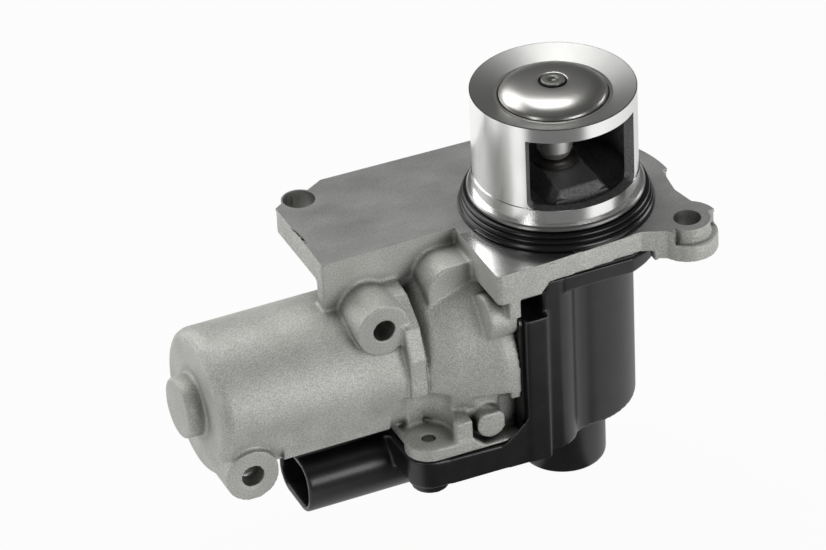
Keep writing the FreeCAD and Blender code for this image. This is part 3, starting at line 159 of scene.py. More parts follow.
# %% Grain, tones and bumps
def grain(made, size_mm, detail=4.0, stretch=(1, 1, 1)):
    """A noise whose spots are about size_mm wide, drawn out along an axis by a small stretch."""
    where = add(made, "ShaderNodeTexCoord")
    mapping = add(made, "ShaderNodeMapping", Scale=stretch)
    noise = add(made, "ShaderNodeTexNoise", Detail=detail, Scale=1.0 / (size_mm * MM))
    wire(made, where.outputs["Object"], mapping.inputs["Vector"])
    wire(made, mapping.outputs["Vector"], noise.inputs["Vector"])
    return noise.outputs["Fac"]


def two_tones(made, factor, low, high, start=0.35, end=0.65):
    """Low at a factor of start or less, high at end or more, and a blend between."""
    ramp = add(made, "ShaderNodeValToRGB")
    for stop, position, tone in zip(ramp.color_ramp.elements, (start, end), (low, high)):
        stop.position = position
        stop.color = (*tone, 1.0)
    wire(made, factor, ramp.inputs["Fac"])
    return ramp.outputs["Color"]


def multiply(made, first, second):
    mix = add(made, "ShaderNodeMix", data_type="RGBA", blend_type="MULTIPLY")
    mix.inputs[0].default_value = 1.0
    wire(made, first, mix.inputs[6])
    wire(made, second, mix.inputs[7])
    return mix.outputs[2]


def bump(made, factor, height_mm, strength=1.0, under=None):
    node = add(made, "ShaderNodeBump", Strength=strength, Distance=height_mm * MM)
    wire(made, factor, node.inputs["Height"])
    if under:
        wire(made, under, node.inputs["Normal"])
    return node.outputs["Normal"]


def set_colour(made, source):
    wire(made, source, shader_of(made).inputs["Base Color"])


def set_normal(made, source):
    wire(made, source, shader_of(made).inputs["Normal"])


print("grain tools ready")

# %% [markdown]
# Sand-cast aluminium has a fine grain from the mould, a slow mottling, and a thin dull skin. The
# fine grain goes into both colour and bump, and the mottling only into colour. Shade is painted into
# its corners: an ambient occlusion node darkens the colour there. The gas chamber inside the spigot
# is the same metal, much darker as painted shade.

# %% Cast aluminium
# Painted shade: ambient occlusion darkens the colour in corners and recesses.
def painted_corner_shade(made, colour, reach_mm, darkest):
    """Darken a colour where the surface is shut in: painted shade."""
    shut_in = add(made, "ShaderNodeAmbientOcclusion", Distance=reach_mm * MM)
    spread = add(made, "ShaderNodeMapRange")
    spread.inputs["From Min"].default_value = 0.25
    spread.inputs["From Max"].default_value = 0.85
    spread.inputs["To Min"].default_value = darkest
    wire(made, shut_in.outputs["AO"], spread.inputs["Value"])
    return multiply(made, colour, spread.outputs["Result"])


def cast_finish(name, low, high, roughness=0.55):
    made = finish(name, high, metallic=0.35, roughness=roughness)
    fine = grain(made, 0.4, detail=3.0)
    skin_tone = two_tones(made, fine, low, high, 0.36, 0.62)
    mottling = two_tones(made, grain(made, 11.0), (0.88, 0.88, 0.87), (1.0, 1.0, 1.0), 0.35, 0.6)
    set_colour(made, painted_corner_shade(made, multiply(made, skin_tone, mottling), 7.0, 0.05))
    coarse = bump(made, grain(made, 1.5, detail=2.0), 0.1, 0.6)
    set_normal(made, bump(made, fine, 0.1, 1.0, under=coarse))
    return made


cast_skin = cast_finish("cast_skin", (0.42, 0.425, 0.40), (0.67, 0.675, 0.64))
# Painted shade: the chamber inside the spigot takes a much darker copy of the cast finish.
chamber_painted_shade = cast_finish("chamber_painted_shade", (0.12, 0.12, 0.122), (0.26, 0.26, 0.262), 0.5)
print("cast finishes:", cast_skin.name, chamber_painted_shade.name)

# %% [markdown]
# The gasket plate is milled flat and then handled: a darker, smoother grey with faint smears. The
# smears change its gloss as well as its tone, which is what makes a worn metal face look handled.

# %% Milled plate
def set_gloss(made, factor, low, high):
    """Let the roughness follow a factor, from low at 0 to high at 1."""
    spread = add(made, "ShaderNodeMapRange")
    spread.inputs["To Min"].default_value = low
    spread.inputs["To Max"].default_value = high
    wire(made, factor, spread.inputs["Value"])
    wire(made, spread.outputs["Result"], shader_of(made).inputs["Roughness"])


milled = finish("milled_plate", (0.24, 0.245, 0.24), metallic=0.7, roughness=0.5)
smear = grain(milled, 12.0, detail=6.0, stretch=(0.7, 1.2, 1.0))
speck = grain(milled, 0.5, detail=2.0)
plate_tone = two_tones(milled, smear, (0.35, 0.355, 0.345), (0.44, 0.445, 0.435), 0.3, 0.7)
speck_tone = two_tones(milled, speck, (0.8, 0.8, 0.8), (1.0, 1.0, 1.0), 0.35, 0.6)
set_colour(milled, multiply(milled, plate_tone, speck_tone))
set_gloss(milled, smear, 0.42, 0.52)
set_normal(milled, bump(milled, speck, 0.012, 0.5))
print("plate finish:", milled.name)

# %% [markdown]
# The spigot is turned on a lathe. Its tool marks are rings around the axis. They tilt the surface a
# little, up and down in turn, and so they draw every reflection out along the axis. A noise that
# reads only the distance from the axis and the height gives such rings on walls, cones and flat
# ends alike.

# %% Turned metal
def lathe_marks(made, size_mm):
    """Fine rings around the valve axis."""
    where = add(made, "ShaderNodeTexCoord")
    flat = add(made, "ShaderNodeVectorMath", operation="MULTIPLY")
    flat.inputs[1].default_value = (1, 1, 0)
    radius = add(made, "ShaderNodeVectorMath", operation="LENGTH")
    split = add(made, "ShaderNodeSeparateXYZ")
    ring = add(made, "ShaderNodeCombineXYZ")
    noise = add(made, "ShaderNodeTexNoise", Detail=2.0, Scale=1.0 / (size_mm * MM))
    wire(made, where.outputs["Object"], flat.inputs[0])
    wire(made, flat.outputs[0], radius.inputs[0])
    wire(made, where.outputs["Object"], split.inputs[0])
    wire(made, radius.outputs["Value"], ring.inputs["X"])
    wire(made, split.outputs["Z"], ring.inputs["Z"])
    wire(made, ring.outputs[0], noise.inputs["Vector"])
    return noise.outputs["Fac"]


def turned_finish(name, colour, roughness, marks_mm):
    made = finish(name, colour, metallic=1.0, roughness=roughness)
    stain = grain(made, 9.0, detail=2.0)
    stained = tuple(channel * 0.94 for channel in colour)
    set_colour(made, two_tones(made, stain, stained, colour, 0.25, 0.75))
    set_gloss(made, stain, roughness + 0.02, roughness - 0.02)
    set_normal(made, bump(made, lathe_marks(made, 0.3), marks_mm, 1.0))
    return made


turned_spigot = turned_finish("turned_spigot", (0.96, 0.96, 0.95), 0.22, 0.014)
# Painted reflection: the lip takes a much darker copy of the turned finish, for the dark seal and
# plate mirrored in it.
lip_painted_reflection = turned_finish("lip_painted_reflection", (0.42, 0.42, 0.41), 0.3, 0.014)
turned_cone = turned_finish("turned_cone", (0.42, 0.42, 0.41), 0.42, 0.012)
# Painted reflection: the plate's front corner takes a far brighter, glossier finish for the spigot's
# wall mirrored in it.
corner_painted_reflection = turned_finish("corner_painted_reflection", (0.85, 0.85, 0.84), 0.24, 0.004)
turned_steel = turned_finish("turned_steel", (0.52, 0.515, 0.495), 0.31, 0.006)
# Painted light: a near-white steel for the sleeve in the chamber's shade.
sleeve_painted_light = turned_finish("sleeve_painted_light", (0.95, 0.95, 0.93), 0.45, 0.01)
dull_steel = turned_finish("dull_steel", (0.22, 0.22, 0.205), 0.45, 0.02)
bronze = turned_finish("bronze_bush", (0.13, 0.125, 0.115), 0.5, 0.01)
copper = turned_finish("enamelled_copper", (0.55, 0.22, 0.1), 0.35, 0.01)
print("turned finishes:", turned_spigot.name, turned_steel.name)

# %% [markdown]
# Some small faces are neither cast nor turned: the dark line round the spigot's end, which is painted
# shade, the walls of the drilled holes, darkened as painted shade, and zinc-plated steel. A plain
# finish with a faint grain is enough for them.

# %% Small metal faces
def grained_finish(name, colour, metallic, roughness, size_mm, height_mm, strength):
    made = finish(name, colour, metallic=metallic, roughness=roughness)
    set_normal(made, bump(made, grain(made, size_mm), height_mm, strength))
    return made


# Painted shade: a near-black finish for dark lines, such as the rim's bevel and the head's groove.
painted_dark_line = grained_finish("rim_painted_shade", (0.05, 0.05, 0.05), 0.6, 0.5, 0.6, 0.01, 0.4)
# Painted shade: the drilled walls take a dark metal for the shade inside the holes.
drilled = grained_finish("drilled_wall_painted_shade", (0.3, 0.3, 0.29), 0.9, 0.5, 0.4, 0.02, 0.5)
plated = grained_finish("plated_steel", (0.55, 0.55, 0.56), 1.0, 0.32, 0.6, 0.01, 0.4)
print("small finishes:", painted_dark_line.name, drilled.name, plated.name)

# %% [markdown]
# The cover is glass-filled nylon: nearly black, with a fine grain that breaks up its highlight. A
# pale grey mixed in on its sharply convex edges is a painted highlight; the Pointiness of a finely
# meshed surface finds them. The gears are a natural nylon, which is cream, and the rubber is smooth
# enough to show a sharp highlight.

# %% Plastics, rubber and magnets
def painted_edge_highlight(made, colour, highlight_tone, start=0.53, end=0.6):
    """Mix in a pale colour, a painted highlight, where the surface is sharply convex."""
    shape = add(made, "ShaderNodeNewGeometry")
    spread = add(made, "ShaderNodeMapRange")
    spread.inputs["From Min"].default_value = start
    spread.inputs["From Max"].default_value = end
    mix = add(made, "ShaderNodeMix", data_type="RGBA")
    mix.inputs[7].default_value = (*highlight_tone, 1.0)
    wire(made, shape.outputs["Pointiness"], spread.inputs["Value"])
    wire(made, spread.outputs["Result"], mix.inputs[0])
    wire(made, colour, mix.inputs[6])
    return mix.outputs[2]


black_nylon = finish("black_nylon", (0.008, 0.008, 0.009), roughness=0.34)
glass_grain = grain(black_nylon, 0.5, detail=3.0)
nylon_tone = two_tones(black_nylon, grain(black_nylon, 6.0), (0.006, 0.006, 0.007),
                       (0.011, 0.011, 0.012))
# Painted highlight: a pale grey on the cover's convex edges.
set_colour(black_nylon, painted_edge_highlight(black_nylon, nylon_tone, (0.09, 0.09, 0.09)))
set_gloss(black_nylon, glass_grain, 0.28, 0.42)
set_normal(black_nylon, bump(black_nylon, glass_grain, 0.02, 0.5))

rubber = grained_finish("black_rubber", (0.008, 0.008, 0.008), 0.0, 0.24, 1.2, 0.01, 0.3)
natural_nylon = grained_finish("natural_nylon", (0.62, 0.58, 0.46), 0.0, 0.45, 0.8, 0.01, 0.4)

ferrite = finish("ferrite", (0.05, 0.05, 0.055), metallic=0.3, roughness=0.55)
set_colour(ferrite, two_tones(ferrite, grain(ferrite, 0.8), (0.04, 0.04, 0.045), (0.07, 0.07, 0.075)))
print("plastics:", black_nylon.name, natural_nylon.name, "rubber:", rubber.name)

# %% [markdown]
# A CAD node keeps its own mesh. It only takes one of the finishes above, by its record slot. Two
# nodes differ from the rest of their slot: the screws take a dark dull steel, painted shade at the
# bottom of their holes, and the sleeve on the stem takes a steel far brighter than the rest, painted
# light.

# %% Finishes on the CAD nodes
BY_SLOT = {
    "cast_aluminium": cast_skin, "machined_steel": turned_steel, "black_plastic": black_nylon,
    "gear_plastic": natural_nylon, "black_rubber": rubber, "bronze": bronze, "copper": copper,
    "magnet": ferrite, "plated_steel": plated,
}


def dress(node, made):
    nodes[node].data.materials.clear()
    nodes[node].data.materials.append(made)


for part in frame["record"]["subparts"]:
    dress(part["node"], BY_SLOT[part["material_slot"]])
# Painted shade: the screws sit at the bottom of their holes.
dress("cover_screws", dull_steel)
# Painted light: the sleeve's steel is far brighter than the steel of the other parts.
dress("stem_shield", sleeve_painted_light)

# %% [markdown]
# A new piece is shaped in a bmesh and then rides on a CAD body, so it moves with it. Where a piece
# starts from a CAD node, the node's loose triangles are merged in a copy first. Some shapes need a
# modifier, such as a boolean. A work object carries it, and only its evaluated mesh is kept.

# %% New pieces
def merged_copy(node):
    mesh = bmesh.new()
    mesh.from_mesh(nodes[node].data)
    bmesh.ops.remove_doubles(mesh, verts=mesh.verts, dist=0.002 * MM)
    return mesh


def new_piece(name, mesh, body, smooth_angle=35):
    data = bpy.data.meshes.new(name)
    mesh.to_mesh(data)
    mesh.free()
    data.shade_smooth()
    data.set_sharp_from_angle(angle=math.radians(smooth_angle))
    piece = bpy.data.objects.new(name, data)
    scene.collection.objects.link(piece)
    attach(piece, body)
    return piece


def work_object(mesh):
    data = bpy.data.meshes.new("work")
    mesh.to_mesh(data)
    mesh.free()
    work = bpy.data.objects.new("work", data)
    scene.collection.objects.link(work)
    return work


def evaluated(*works):
    """The first object's mesh with its modifiers applied. All the work objects are removed."""
    graph = bpy.context.evaluated_depsgraph_get()
    mesh = bmesh.new()
    mesh.from_object(works[0], graph)
    for work in works:
        bpy.data.objects.remove(work)
    return mesh


print("casting triangles:", len(nodes["casting"].data.polygons))

# %% [markdown]
# The casting meets the cover with a thin rim. On the real one the rim stops in front, beside the
# arch, the corner boss and the small peg. The CAD solid keeps its rim whole there. A box is fitted
# round the spare stretch, the arch and the corner boss are cut out of the box so that they stay, and
# what is left of the box is taken off a copy of the casting. A second box clears the space beside
# the peg.

# %% Carve the mating rim
RIM_X = (-31.2, -27.3)
RIM_Y = (-34.0, -18.0)
RIM_Z = (-60.2, -17.0)
ARCH = {"y": 4.7, "z": -40.8, "radius": 35.0}
CORNER_BOSS = {"y": -22.2, "z": -19.5, "radius": 7.3}
PEG_SIDE_X = (-33.4, -27.3)
PEG_SIDE_Y = (-34.0, -24.5)
PEG_SIDE_Z = (-60.2, -47.5)


def box_mesh(x, y, z):
    """A box between two places on each axis."""
    mesh = bmesh.new()
    size = Matrix.Diagonal(((x[1] - x[0]) * MM, (y[1] - y[0]) * MM, (z[1] - z[0]) * MM, 1))
    middle = Matrix.Translation(place(sum(x) / 2, sum(y) / 2, sum(z) / 2))
    bmesh.ops.create_cube(mesh, size=1.0, matrix=middle @ size)
    return mesh


def rod_mesh(x, y, z, radius):
    """A closed rod along X."""
    mesh = bmesh.new()
    lie = Matrix.Translation(place(sum(x) / 2, y, z)) @ Matrix.Rotation(math.pi / 2, 4, "Y")
    bmesh.ops.create_cone(mesh, cap_ends=True, segments=96, radius1=radius * MM,
                          radius2=radius * MM, depth=(x[1] - x[0]) * MM, matrix=lie)
    return mesh


def less(mesh, other):
    """One closed mesh with another cut out of it."""
    work, cutter = work_object(mesh), work_object(other)
    modifier = work.modifiers.new("cut", "BOOLEAN")
    modifier.operation = "DIFFERENCE"
    modifier.object = cutter
    modifier.solver = "EXACT"
    return evaluated(work, cutter)


spare_rim = less(box_mesh(RIM_X, RIM_Y, RIM_Z), rod_mesh((-33.0, -26.0), **ARCH))
spare_rim = less(spare_rim, rod_mesh((-37.0, -26.0), **CORNER_BOSS))
carved = less(merged_copy("casting"), spare_rim)
carved = less(carved, box_mesh(PEG_SIDE_X, PEG_SIDE_Y, PEG_SIDE_Z))
print("carved casting faces:", len(carved.faces))

# %% [markdown]
# A casting has no sharp edges. A voxel remesh turns the carved mesh into an even skin, and smoothing
# that skin rounds its edges and fills its corners, as a mould does. Points near a machined face or a
# drilled hole are held, so those faces stay flat and their edges stay crisp. Each point gets a
# softness from 0 to 1 for this.

# %% Where the skin may soften
MATING_FACE = -28.2
PLATE_HOLES = ((31.2, -28.2, 4.35), (-70.8, 37.4, 5.15))
BOSS_HOLES = ((-66.2, -19.2, -15.6), (-113.8, -55.2, -20.0))
BOSS_R = 9.5
BORE_R = 3.5
BORE_DEPTH = 14.0


def nearness(value, inner, outer):
    """0 at inner or less, 1 at outer or more, and a straight climb between."""
    return min(1.0, max(0.0, (value - inner) / (outer - inner)))


def cast_softness(point):
    x, y, z = drawing(point)
    soft = min(nearness(-z, 1.0, 3.0), nearness(MATING_FACE - x, 0.0, 1.5))
    for hole_x, hole_y, radius in PLATE_HOLES:
        soft = min(soft, nearness(math.hypot(x - hole_x, y - hole_y), radius + 0.3, radius + 1.2))
    for hole_x, hole_z, face in BOSS_HOLES:
        away = math.hypot(x - hole_x, z - hole_z)
        if y < face + BORE_DEPTH:
            soft = min(soft, nearness(away, BORE_R + 0.3, BORE_R + 1.5))
        if away < BOSS_R and y < face + 1.2:
            soft = min(soft, 0.25)
    return soft


print("softness on the barrel:", cast_softness(place(-90, 0, -20)))

# %% [markdown]
# A soft skin is made in three steps. The remesh gives it even squares. Smoothing then runs in
# rounds, and a point takes part in as many of them as its softness allows. The skin has far more
# triangles than its flat stretches need, so it is thinned at the end.

# %% Remesh, soften and thin
VOXEL = 0.5


def remeshed(mesh):
    work = work_object(mesh)
    modifier = work.modifiers.new("skin", "REMESH")
    modifier.mode = "VOXEL"
    modifier.voxel_size = VOXEL * MM
    skin = evaluated(work)
    skin.verts.index_update()
    return skin


def soften(mesh, rounds, softness):
    for step in range(rounds):
        share = (step + 0.5) / rounds
        chosen = [v for v in mesh.verts if softness[v.index] > share]
        bmesh.ops.smooth_vert(mesh, verts=chosen, factor=0.5, use_axis_x=True, use_axis_y=True,
                              use_axis_z=True)


def thinned(mesh, triangles):
    bmesh.ops.triangulate(mesh, faces=mesh.faces)
    before = len(mesh.faces)
    work = work_object(mesh)
    modifier = work.modifiers.new("thin", "DECIMATE")
    modifier.ratio = min(1.0, triangles / before)
    return evaluated(work)


skin = remeshed(carved)
soften(skin, 3, [cast_softness(v.co) for v in skin.verts])
print("points in the soft skin:", len(skin.verts))

# %% [markdown]
# The casting is shown as two pieces that meet just under the plate's top face. The lower one is the
# soft skin. It is cut off flat at that height, and the cut is closed with triangles.

# %% Cast skin
SKIN_TOP = -0.5
SKIN_TRIANGLES = 190000


def cut_flat(mesh, height, keep_above):
    """Cut a closed mesh at a height above the flange face and close the cut."""
    made = bmesh.ops.bisect_plane(mesh, geom=mesh.verts[:] + mesh.edges[:] + mesh.faces[:],
                                  plane_co=place(0, 0, height), plane_no=(0, 0, 1),
                                  clear_inner=keep_above, clear_outer=not keep_above)
    rim = [e for e in made["geom_cut"] if isinstance(e, bmesh.types.BMEdge)]
    bmesh.ops.triangle_fill(mesh, edges=rim, use_beauty=True, use_dissolve=False)


cut_flat(skin, SKIN_TOP, keep_above=False)
skin = thinned(skin, SKIN_TRIANGLES)
casting_skin = new_piece("casting_skin", skin, "valve_body", 60)
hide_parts("casting")
print("cast skin triangles:", len(casting_skin.data.polygons))

# %% [markdown]
# The holes in the plate and in the two bosses are drilled after casting, so their walls are plain
# metal, coloured dark as painted shade in the holes. A face belongs to a hole if it lies no farther
# from the hole's axis than its radius.

# %% Drilled walls
def bored(point):
    """True on the wall of a drilled hole."""
    x, y, z = drawing(point)
    for hole_x, hole_y, radius in PLATE_HOLES:
        if z > -11 and math.hypot(x - hole_x, y - hole_y) < radius + 0.25:
            return True
    for hole_x, hole_z, face in BOSS_HOLES:
        if y < face + BORE_DEPTH and math.hypot(x - hole_x, z - hole_z) < BORE_R + 0.25:
            return True
    return False


casting_skin.data.materials.append(cast_skin)
casting_skin.data.materials.append(drilled)
for face in casting_skin.data.polygons:
    face.material_index = 1 if bored(face.center) else 0
print("drilled faces:", sum(face.material_index for face in casting_skin.data.polygons))

# %% [markdown]
# The upper piece of the casting is the machined metal, straight from the CAD mesh: the top of the
# plate and the spigot with its lip, its pilot land and the wall above it. Each face takes its finish
# from where it lies. The flat top is milled, and its front corner is glossier and painted brighter, a
# painted reflection of the spigot's wall. The spigot is turned outside, and its lip below the land is
# painted darker, a painted reflection of the dark seal and plate. The gas chamber in it takes the
# dark cast finish, painted shade.

# %% Finishes by place
LIP_TOP = -FLANGE_FACE
LAND_TOP = LIP_TOP + 5.0
SPIGOT_TOP = 41.5
SPIGOT_SKIN = 25.5
CAST, MILLED, TURNED, CHAMBER, DRILLED, GLINT_CORNER, CONE, EDGE, LIP = range(9)
METALS = (cast_skin, milled, turned_spigot, chamber_painted_shade, drilled, corner_painted_reflection, turned_cone,
          painted_dark_line, lip_painted_reflection)
GLINT_CORNER_X = -8.0
GLINT_CORNER_Y = -4.0


def on_land_step(point):
    """True on the small step where the spigot's wall leaves its pilot land."""
    x, y, z = drawing(point)
    return math.hypot(x, y) > SPIGOT_SKIN + 0.1 and abs(z - LAND_TOP) < 0.05


def metal_at(middle, normal):
    x, y, z = drawing(middle)
    away = math.hypot(x, y)
    outwards = normal.x * x + normal.y * y > 0.9 * away
    if -0.3 < z < 0.05 and normal.z > 0.9:
        # Painted reflection: the bright front corner of the plate.
        return GLINT_CORNER if y < GLINT_CORNER_Y and x < GLINT_CORNER_X else MILLED
    if z < 0.05:
        return DRILLED if bored(middle) else CAST
    if z > SEAT_TOP - 0.1:
        return TURNED if outwards else CONE
    # Painted reflection: the lip below the pilot land is darker.
    if away > SPIGOT_SKIN and z < LIP_TOP - 0.1:
        return LIP
    if away > SPIGOT_SKIN and (outwards or z < LIP_TOP + 0.1) or on_land_step(middle):
        return TURNED
    # Painted shade: the chamber's faces take the dark cast finish.
    return CHAMBER


print("finishes on the machined piece:", len(METALS))

# %% [markdown]
# The plate's top is one large face in the CAD mesh, so it is split along the two borders of the
# bright corner before the finishes are dealt out. The spigot's end has a thin bevel, and the bevel
# takes a near-black finish: a painted dark line of shade.

# %% Machined metal
METAL_BOTTOM = -1.0
BEVEL = 0.3


def split_flat(mesh, corner, across):
    bmesh.ops.bisect_plane(mesh, geom=mesh.verts[:] + mesh.edges[:] + mesh.faces[:],
                           plane_co=corner, plane_no=across)


def on_spigot_rim(vert):
    x, y, z = drawing(vert.co)
    return abs(z - SPIGOT_TOP) < 0.02 and math.hypot(x, y) > SPIGOT_SKIN + 0.2


metal = merged_copy("casting")
cut_flat(metal, METAL_BOTTOM, keep_above=True)
split_flat(metal, place(GLINT_CORNER_X, 0, 0), (1, 0, 0))
split_flat(metal, place(0, GLINT_CORNER_Y, 0), (0, 1, 0))
for face in metal.faces:
    face.material_index = metal_at(face.calc_center_median(), face.normal)
# Painted shade: the rim's bevel takes the near-black finish.
rim = [edge for edge in metal.edges if all(on_spigot_rim(vert) for vert in edge.verts)]
bmesh.ops.bevel(metal, geom=rim, offset=BEVEL * MM, segments=2, profile=0.5, affect="EDGES",
                material=EDGE)
casting_metal = new_piece("casting_metal", metal, "valve_body", 30)
for made in METALS:
    casting_metal.data.materials.append(made)
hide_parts("casting")
print("rim edges:", len(rim), "machined faces:", len(casting_metal.data.polygons))

# %% [markdown]
# A CAD mesh draws a round wall with long flat strips, and a polished metal shows every one of them.
# The true normal of a turned surface is known: it points straight away from the axis and rises as
# much as the face does. Custom normals with these values make the strips look round. Faces that
# share a point lend each other their rise, unless an edge lies between them.

# %% Normals of a turned surface
FLAT = 0.98


def rise_of(face):
    """The upward part of a turned face's normal. The land's step is shaded as a wall."""
    return 0.0 if abs(face.normal.z) > FLAT else face.normal.z


def turned_normals(data, slots):
    """Give smooth faces in these slots the normals of a surface turned about the valve axis."""
    normals = [(0.0, 0.0, 0.0)] * len(data.loops)
    turned = [face for face in data.polygons if face.use_smooth and face.material_index in slots]
    rises = {}
    for face in turned:
        for corner in face.vertices:
            rises.setdefault(corner, []).append(rise_of(face))
    for face in turned:
        side = 1 if face.normal.x * face.center.x + face.normal.y * face.center.y > 0 else -1
        for loop in face.loop_indices:
            corner = data.loops[loop].vertex_index
            near = [rise for rise in rises[corner] if abs(rise - rise_of(face)) < 0.3]
            rise = sum(near) / len(near)
            level = math.sqrt(1 - rise ** 2) * side
            point = data.vertices[corner].co
            away = math.hypot(point.x, point.y)
            normals[loop] = (point.x / away * level, point.y / away * level, rise)
    data.normals_split_custom_set(normals)
    return len(turned)


for face in casting_metal.data.polygons:
    face.use_smooth = abs(face.normal.z) < FLAT or on_land_step(face.center)
print("turned faces:", turned_normals(casting_metal.data, (TURNED, CONE, LIP)))

# %% [markdown]
# The return spring is a round wire in four open turns. A circle spun round the axis with a small
# climb at each step is such a coil. It sits between the casting and the plate on the stem, so it has
# to shorten as the valve lifts. The coil gets a mesh of its own.

# %% Return spring
COIL_R = 6.6
WIRE_R = 0.7
COIL_LOW = -26.3
COIL_RISE = 13.2
COIL_TURNS = 4
COIL_STEPS = 160

coil = bmesh.new()
lie = Matrix.Translation(place(COIL_R, 0, COIL_LOW)) @ Matrix.Rotation(math.pi / 2, 4, "X")
bmesh.ops.create_circle(coil, cap_ends=True, segments=12, radius=WIRE_R * MM, matrix=lie)
bmesh.ops.spin(coil, geom=coil.verts[:] + coil.edges[:] + coil.faces[:], cent=place(0, 0, 0),
               axis=(0, 0, 1), dvec=(0, 0, COIL_RISE / COIL_STEPS * MM),
               angle=COIL_TURNS * 2 * math.pi, steps=COIL_STEPS)
bmesh.ops.recalc_face_normals(coil, faces=coil.faces)
spring = new_piece("return_spring_coil", coil, "valve_body")
spring.data.materials.append(plated)
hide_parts("return_spring")
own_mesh(spring)
print("coil faces:", len(spring.data.polygons))

# %% [markdown]
# Turned and moulded rings are spun from a half section, as on a lathe. Cutting the corners of the
# section three times over gives it the roundness that the plain CAD piece leaves out. The rubber
# ring at the spigot's root is the first: two beads over a flat foot.

# %% Spigot seal
def eased(points, rounds=3):
    """Cut every inner corner of an open line at a quarter and three quarters, several times."""
    for _ in range(rounds):
        cut = [points[0]]
        for (r0, z0), (r1, z1) in zip(points, points[1:]):
            cut.append((0.75 * r0 + 0.25 * r1, 0.75 * z0 + 0.25 * z1))
            cut.append((0.25 * r0 + 0.75 * r1, 0.25 * z0 + 0.75 * z1))
        points = cut + [points[-1]]
    return points


def spun(name, section, body, made, steps=144):
    """A closed half section, given as radius and height, spun once round the valve axis."""
    mesh = bmesh.new()
    points = [mesh.verts.new(place(r, 0, z)) for r, z in section]
    edges = [mesh.edges.new(pair) for pair in zip(points, points[1:] + points[:1])]
    bmesh.ops.spin(mesh, geom=points + edges, cent=place(0, 0, 0), axis=(0, 0, 1),
                   angle=2 * math.pi, steps=steps)
    bmesh.ops.remove_doubles(mesh, verts=mesh.verts, dist=0.001 * MM)
    bmesh.ops.dissolve_degenerate(mesh, edges=mesh.edges, dist=0.001 * MM)
    on_axis = [edge for edge in mesh.edges if not edge.link_faces]
    bmesh.ops.delete(mesh, geom=on_axis, context="EDGES")
    bmesh.ops.recalc_face_normals(mesh, faces=mesh.faces)
    piece = new_piece(name, mesh, body)
    piece.data.materials.append(made)
    return piece


SEAL_BORE = 26.5
SEAL_TOP = 5.5
SEAL_FOOT = -0.25
beads = eased([(SEAL_BORE + 0.1, SEAL_TOP), (28.1, SEAL_TOP), (28.9, 5.3), (29.3, 4.7), (28.9, 4.2),
               (28.6, 4.0), (29.4, 3.8), (30.0, 3.2), (29.6, 2.6), (29.2, 2.4), (30.0, 2.2),
               (30.6, 1.2), (30.2, 0.1), (29.3, SEAL_FOOT)])
ring = spun("spigot_seal_ring", beads + [(SEAL_BORE, SEAL_FOOT), (SEAL_BORE, SEAL_TOP)], "valve_body",
            rubber)
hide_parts("spigot_seal")
print("seal faces:", len(ring.data.polygons))

# %% [markdown]
# The valve head is a shallow steel dome on the end of the stem. A narrow groove parts the dome from
# the rivet in its middle. The groove's faces take the near-black finish, painted shade for the shadow
# in it.

# %% Valve head
STEM_R = 3.0
HEAD_TOP = 43.42
HEAD_UNDER = 36.72
GROOVE_FLOOR = 42.5
GROOVE_OUTER_R = 4.45

crown = eased([(STEM_R, HEAD_TOP), (3.75, HEAD_TOP), (3.85, GROOVE_FLOOR), (4.25, GROOVE_FLOOR),
               (4.4, 43.35), (5.4, 43.4), (7.4, 43.3), (10.2, 42.95), (12.6, 42.35), (14.5, 41.5),
               (15.9, 40.5), (16.6, 39.8), (16.9, 39.1)])
underside = [(16.8, 38.72), (15.1, HEAD_UNDER), (STEM_R, HEAD_UNDER)]
head = spun("valve_head_dome", crown + underside, "valve", turned_steel)
head.data.materials.append(painted_dark_line)
# Painted shade: the groove's faces take the near-black finish.
for face in head.data.polygons:
    x, y, z = drawing(face.center)
    face.material_index = 1 if z > GROOVE_FLOOR - 0.2 and math.hypot(x, y) < GROOVE_OUTER_R else 0
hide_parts("valve_head")
print("groove faces:", sum(face.material_index for face in head.data.polygons))

# %% [markdown]
# The stem ends in that rivet, which is pressed flat over the head and has a small centre mark. The
# CAD stem is right in size, but its rim is too sharp for a close view. Its two ends are measured, and
# a stem with an eased rivet is spun between them.

# %% Valve stem
heights = [drawing(vert.co)[2] for vert in nodes["valve_stem"].data.vertices]
foot, tip = min(heights), max(heights)
rivet = eased([(STEM_R, tip - 0.7), (3.75, tip - 0.6), (3.75, tip - 0.15), (3.2, tip), (1.4, tip),
               (0.9, tip - 0.8), (0.3, tip - 0.95)])
clip_groove = [(STEM_R, -29.5), (2.5, -29.5), (2.5, -28.5), (STEM_R, -28.5)]
shank = [(0.0, foot), (2.6, foot), (STEM_R, foot + 0.4)] + clip_groove
stem = spun("valve_stem_turned", shank + rivet + [(0.0, tip - 0.95)], "valve", dull_steel)
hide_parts("valve_stem")
print("stem from", round(foot, 2), "to", round(tip, 2), "mm")

# %% [markdown]
# The black cover is one moulding. It is remeshed and smoothed like the casting, but every point takes
# part in every round, because a moulding has no machined faces. Four rounds give its edges a radius
# of about half a millimetre.

# %% Cover
COVER_TRIANGLES = 150000

moulding = remeshed(merged_copy("gear_cover"))
soften(moulding, 4, [1.0] * len(moulding.verts))
moulding = thinned(moulding, COVER_TRIANGLES)
cover_moulding = new_piece("cover_moulding", moulding, "valve_body", 60)
cover_moulding.data.materials.append(black_nylon)
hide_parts("gear_cover")
print("cover triangles:", len(cover_moulding.data.polygons))

# %% [markdown]
# The valve stands on white paper that reaches far past the picture. The floor lies a hair below the
# lowest piece, so that the two never share a plane.

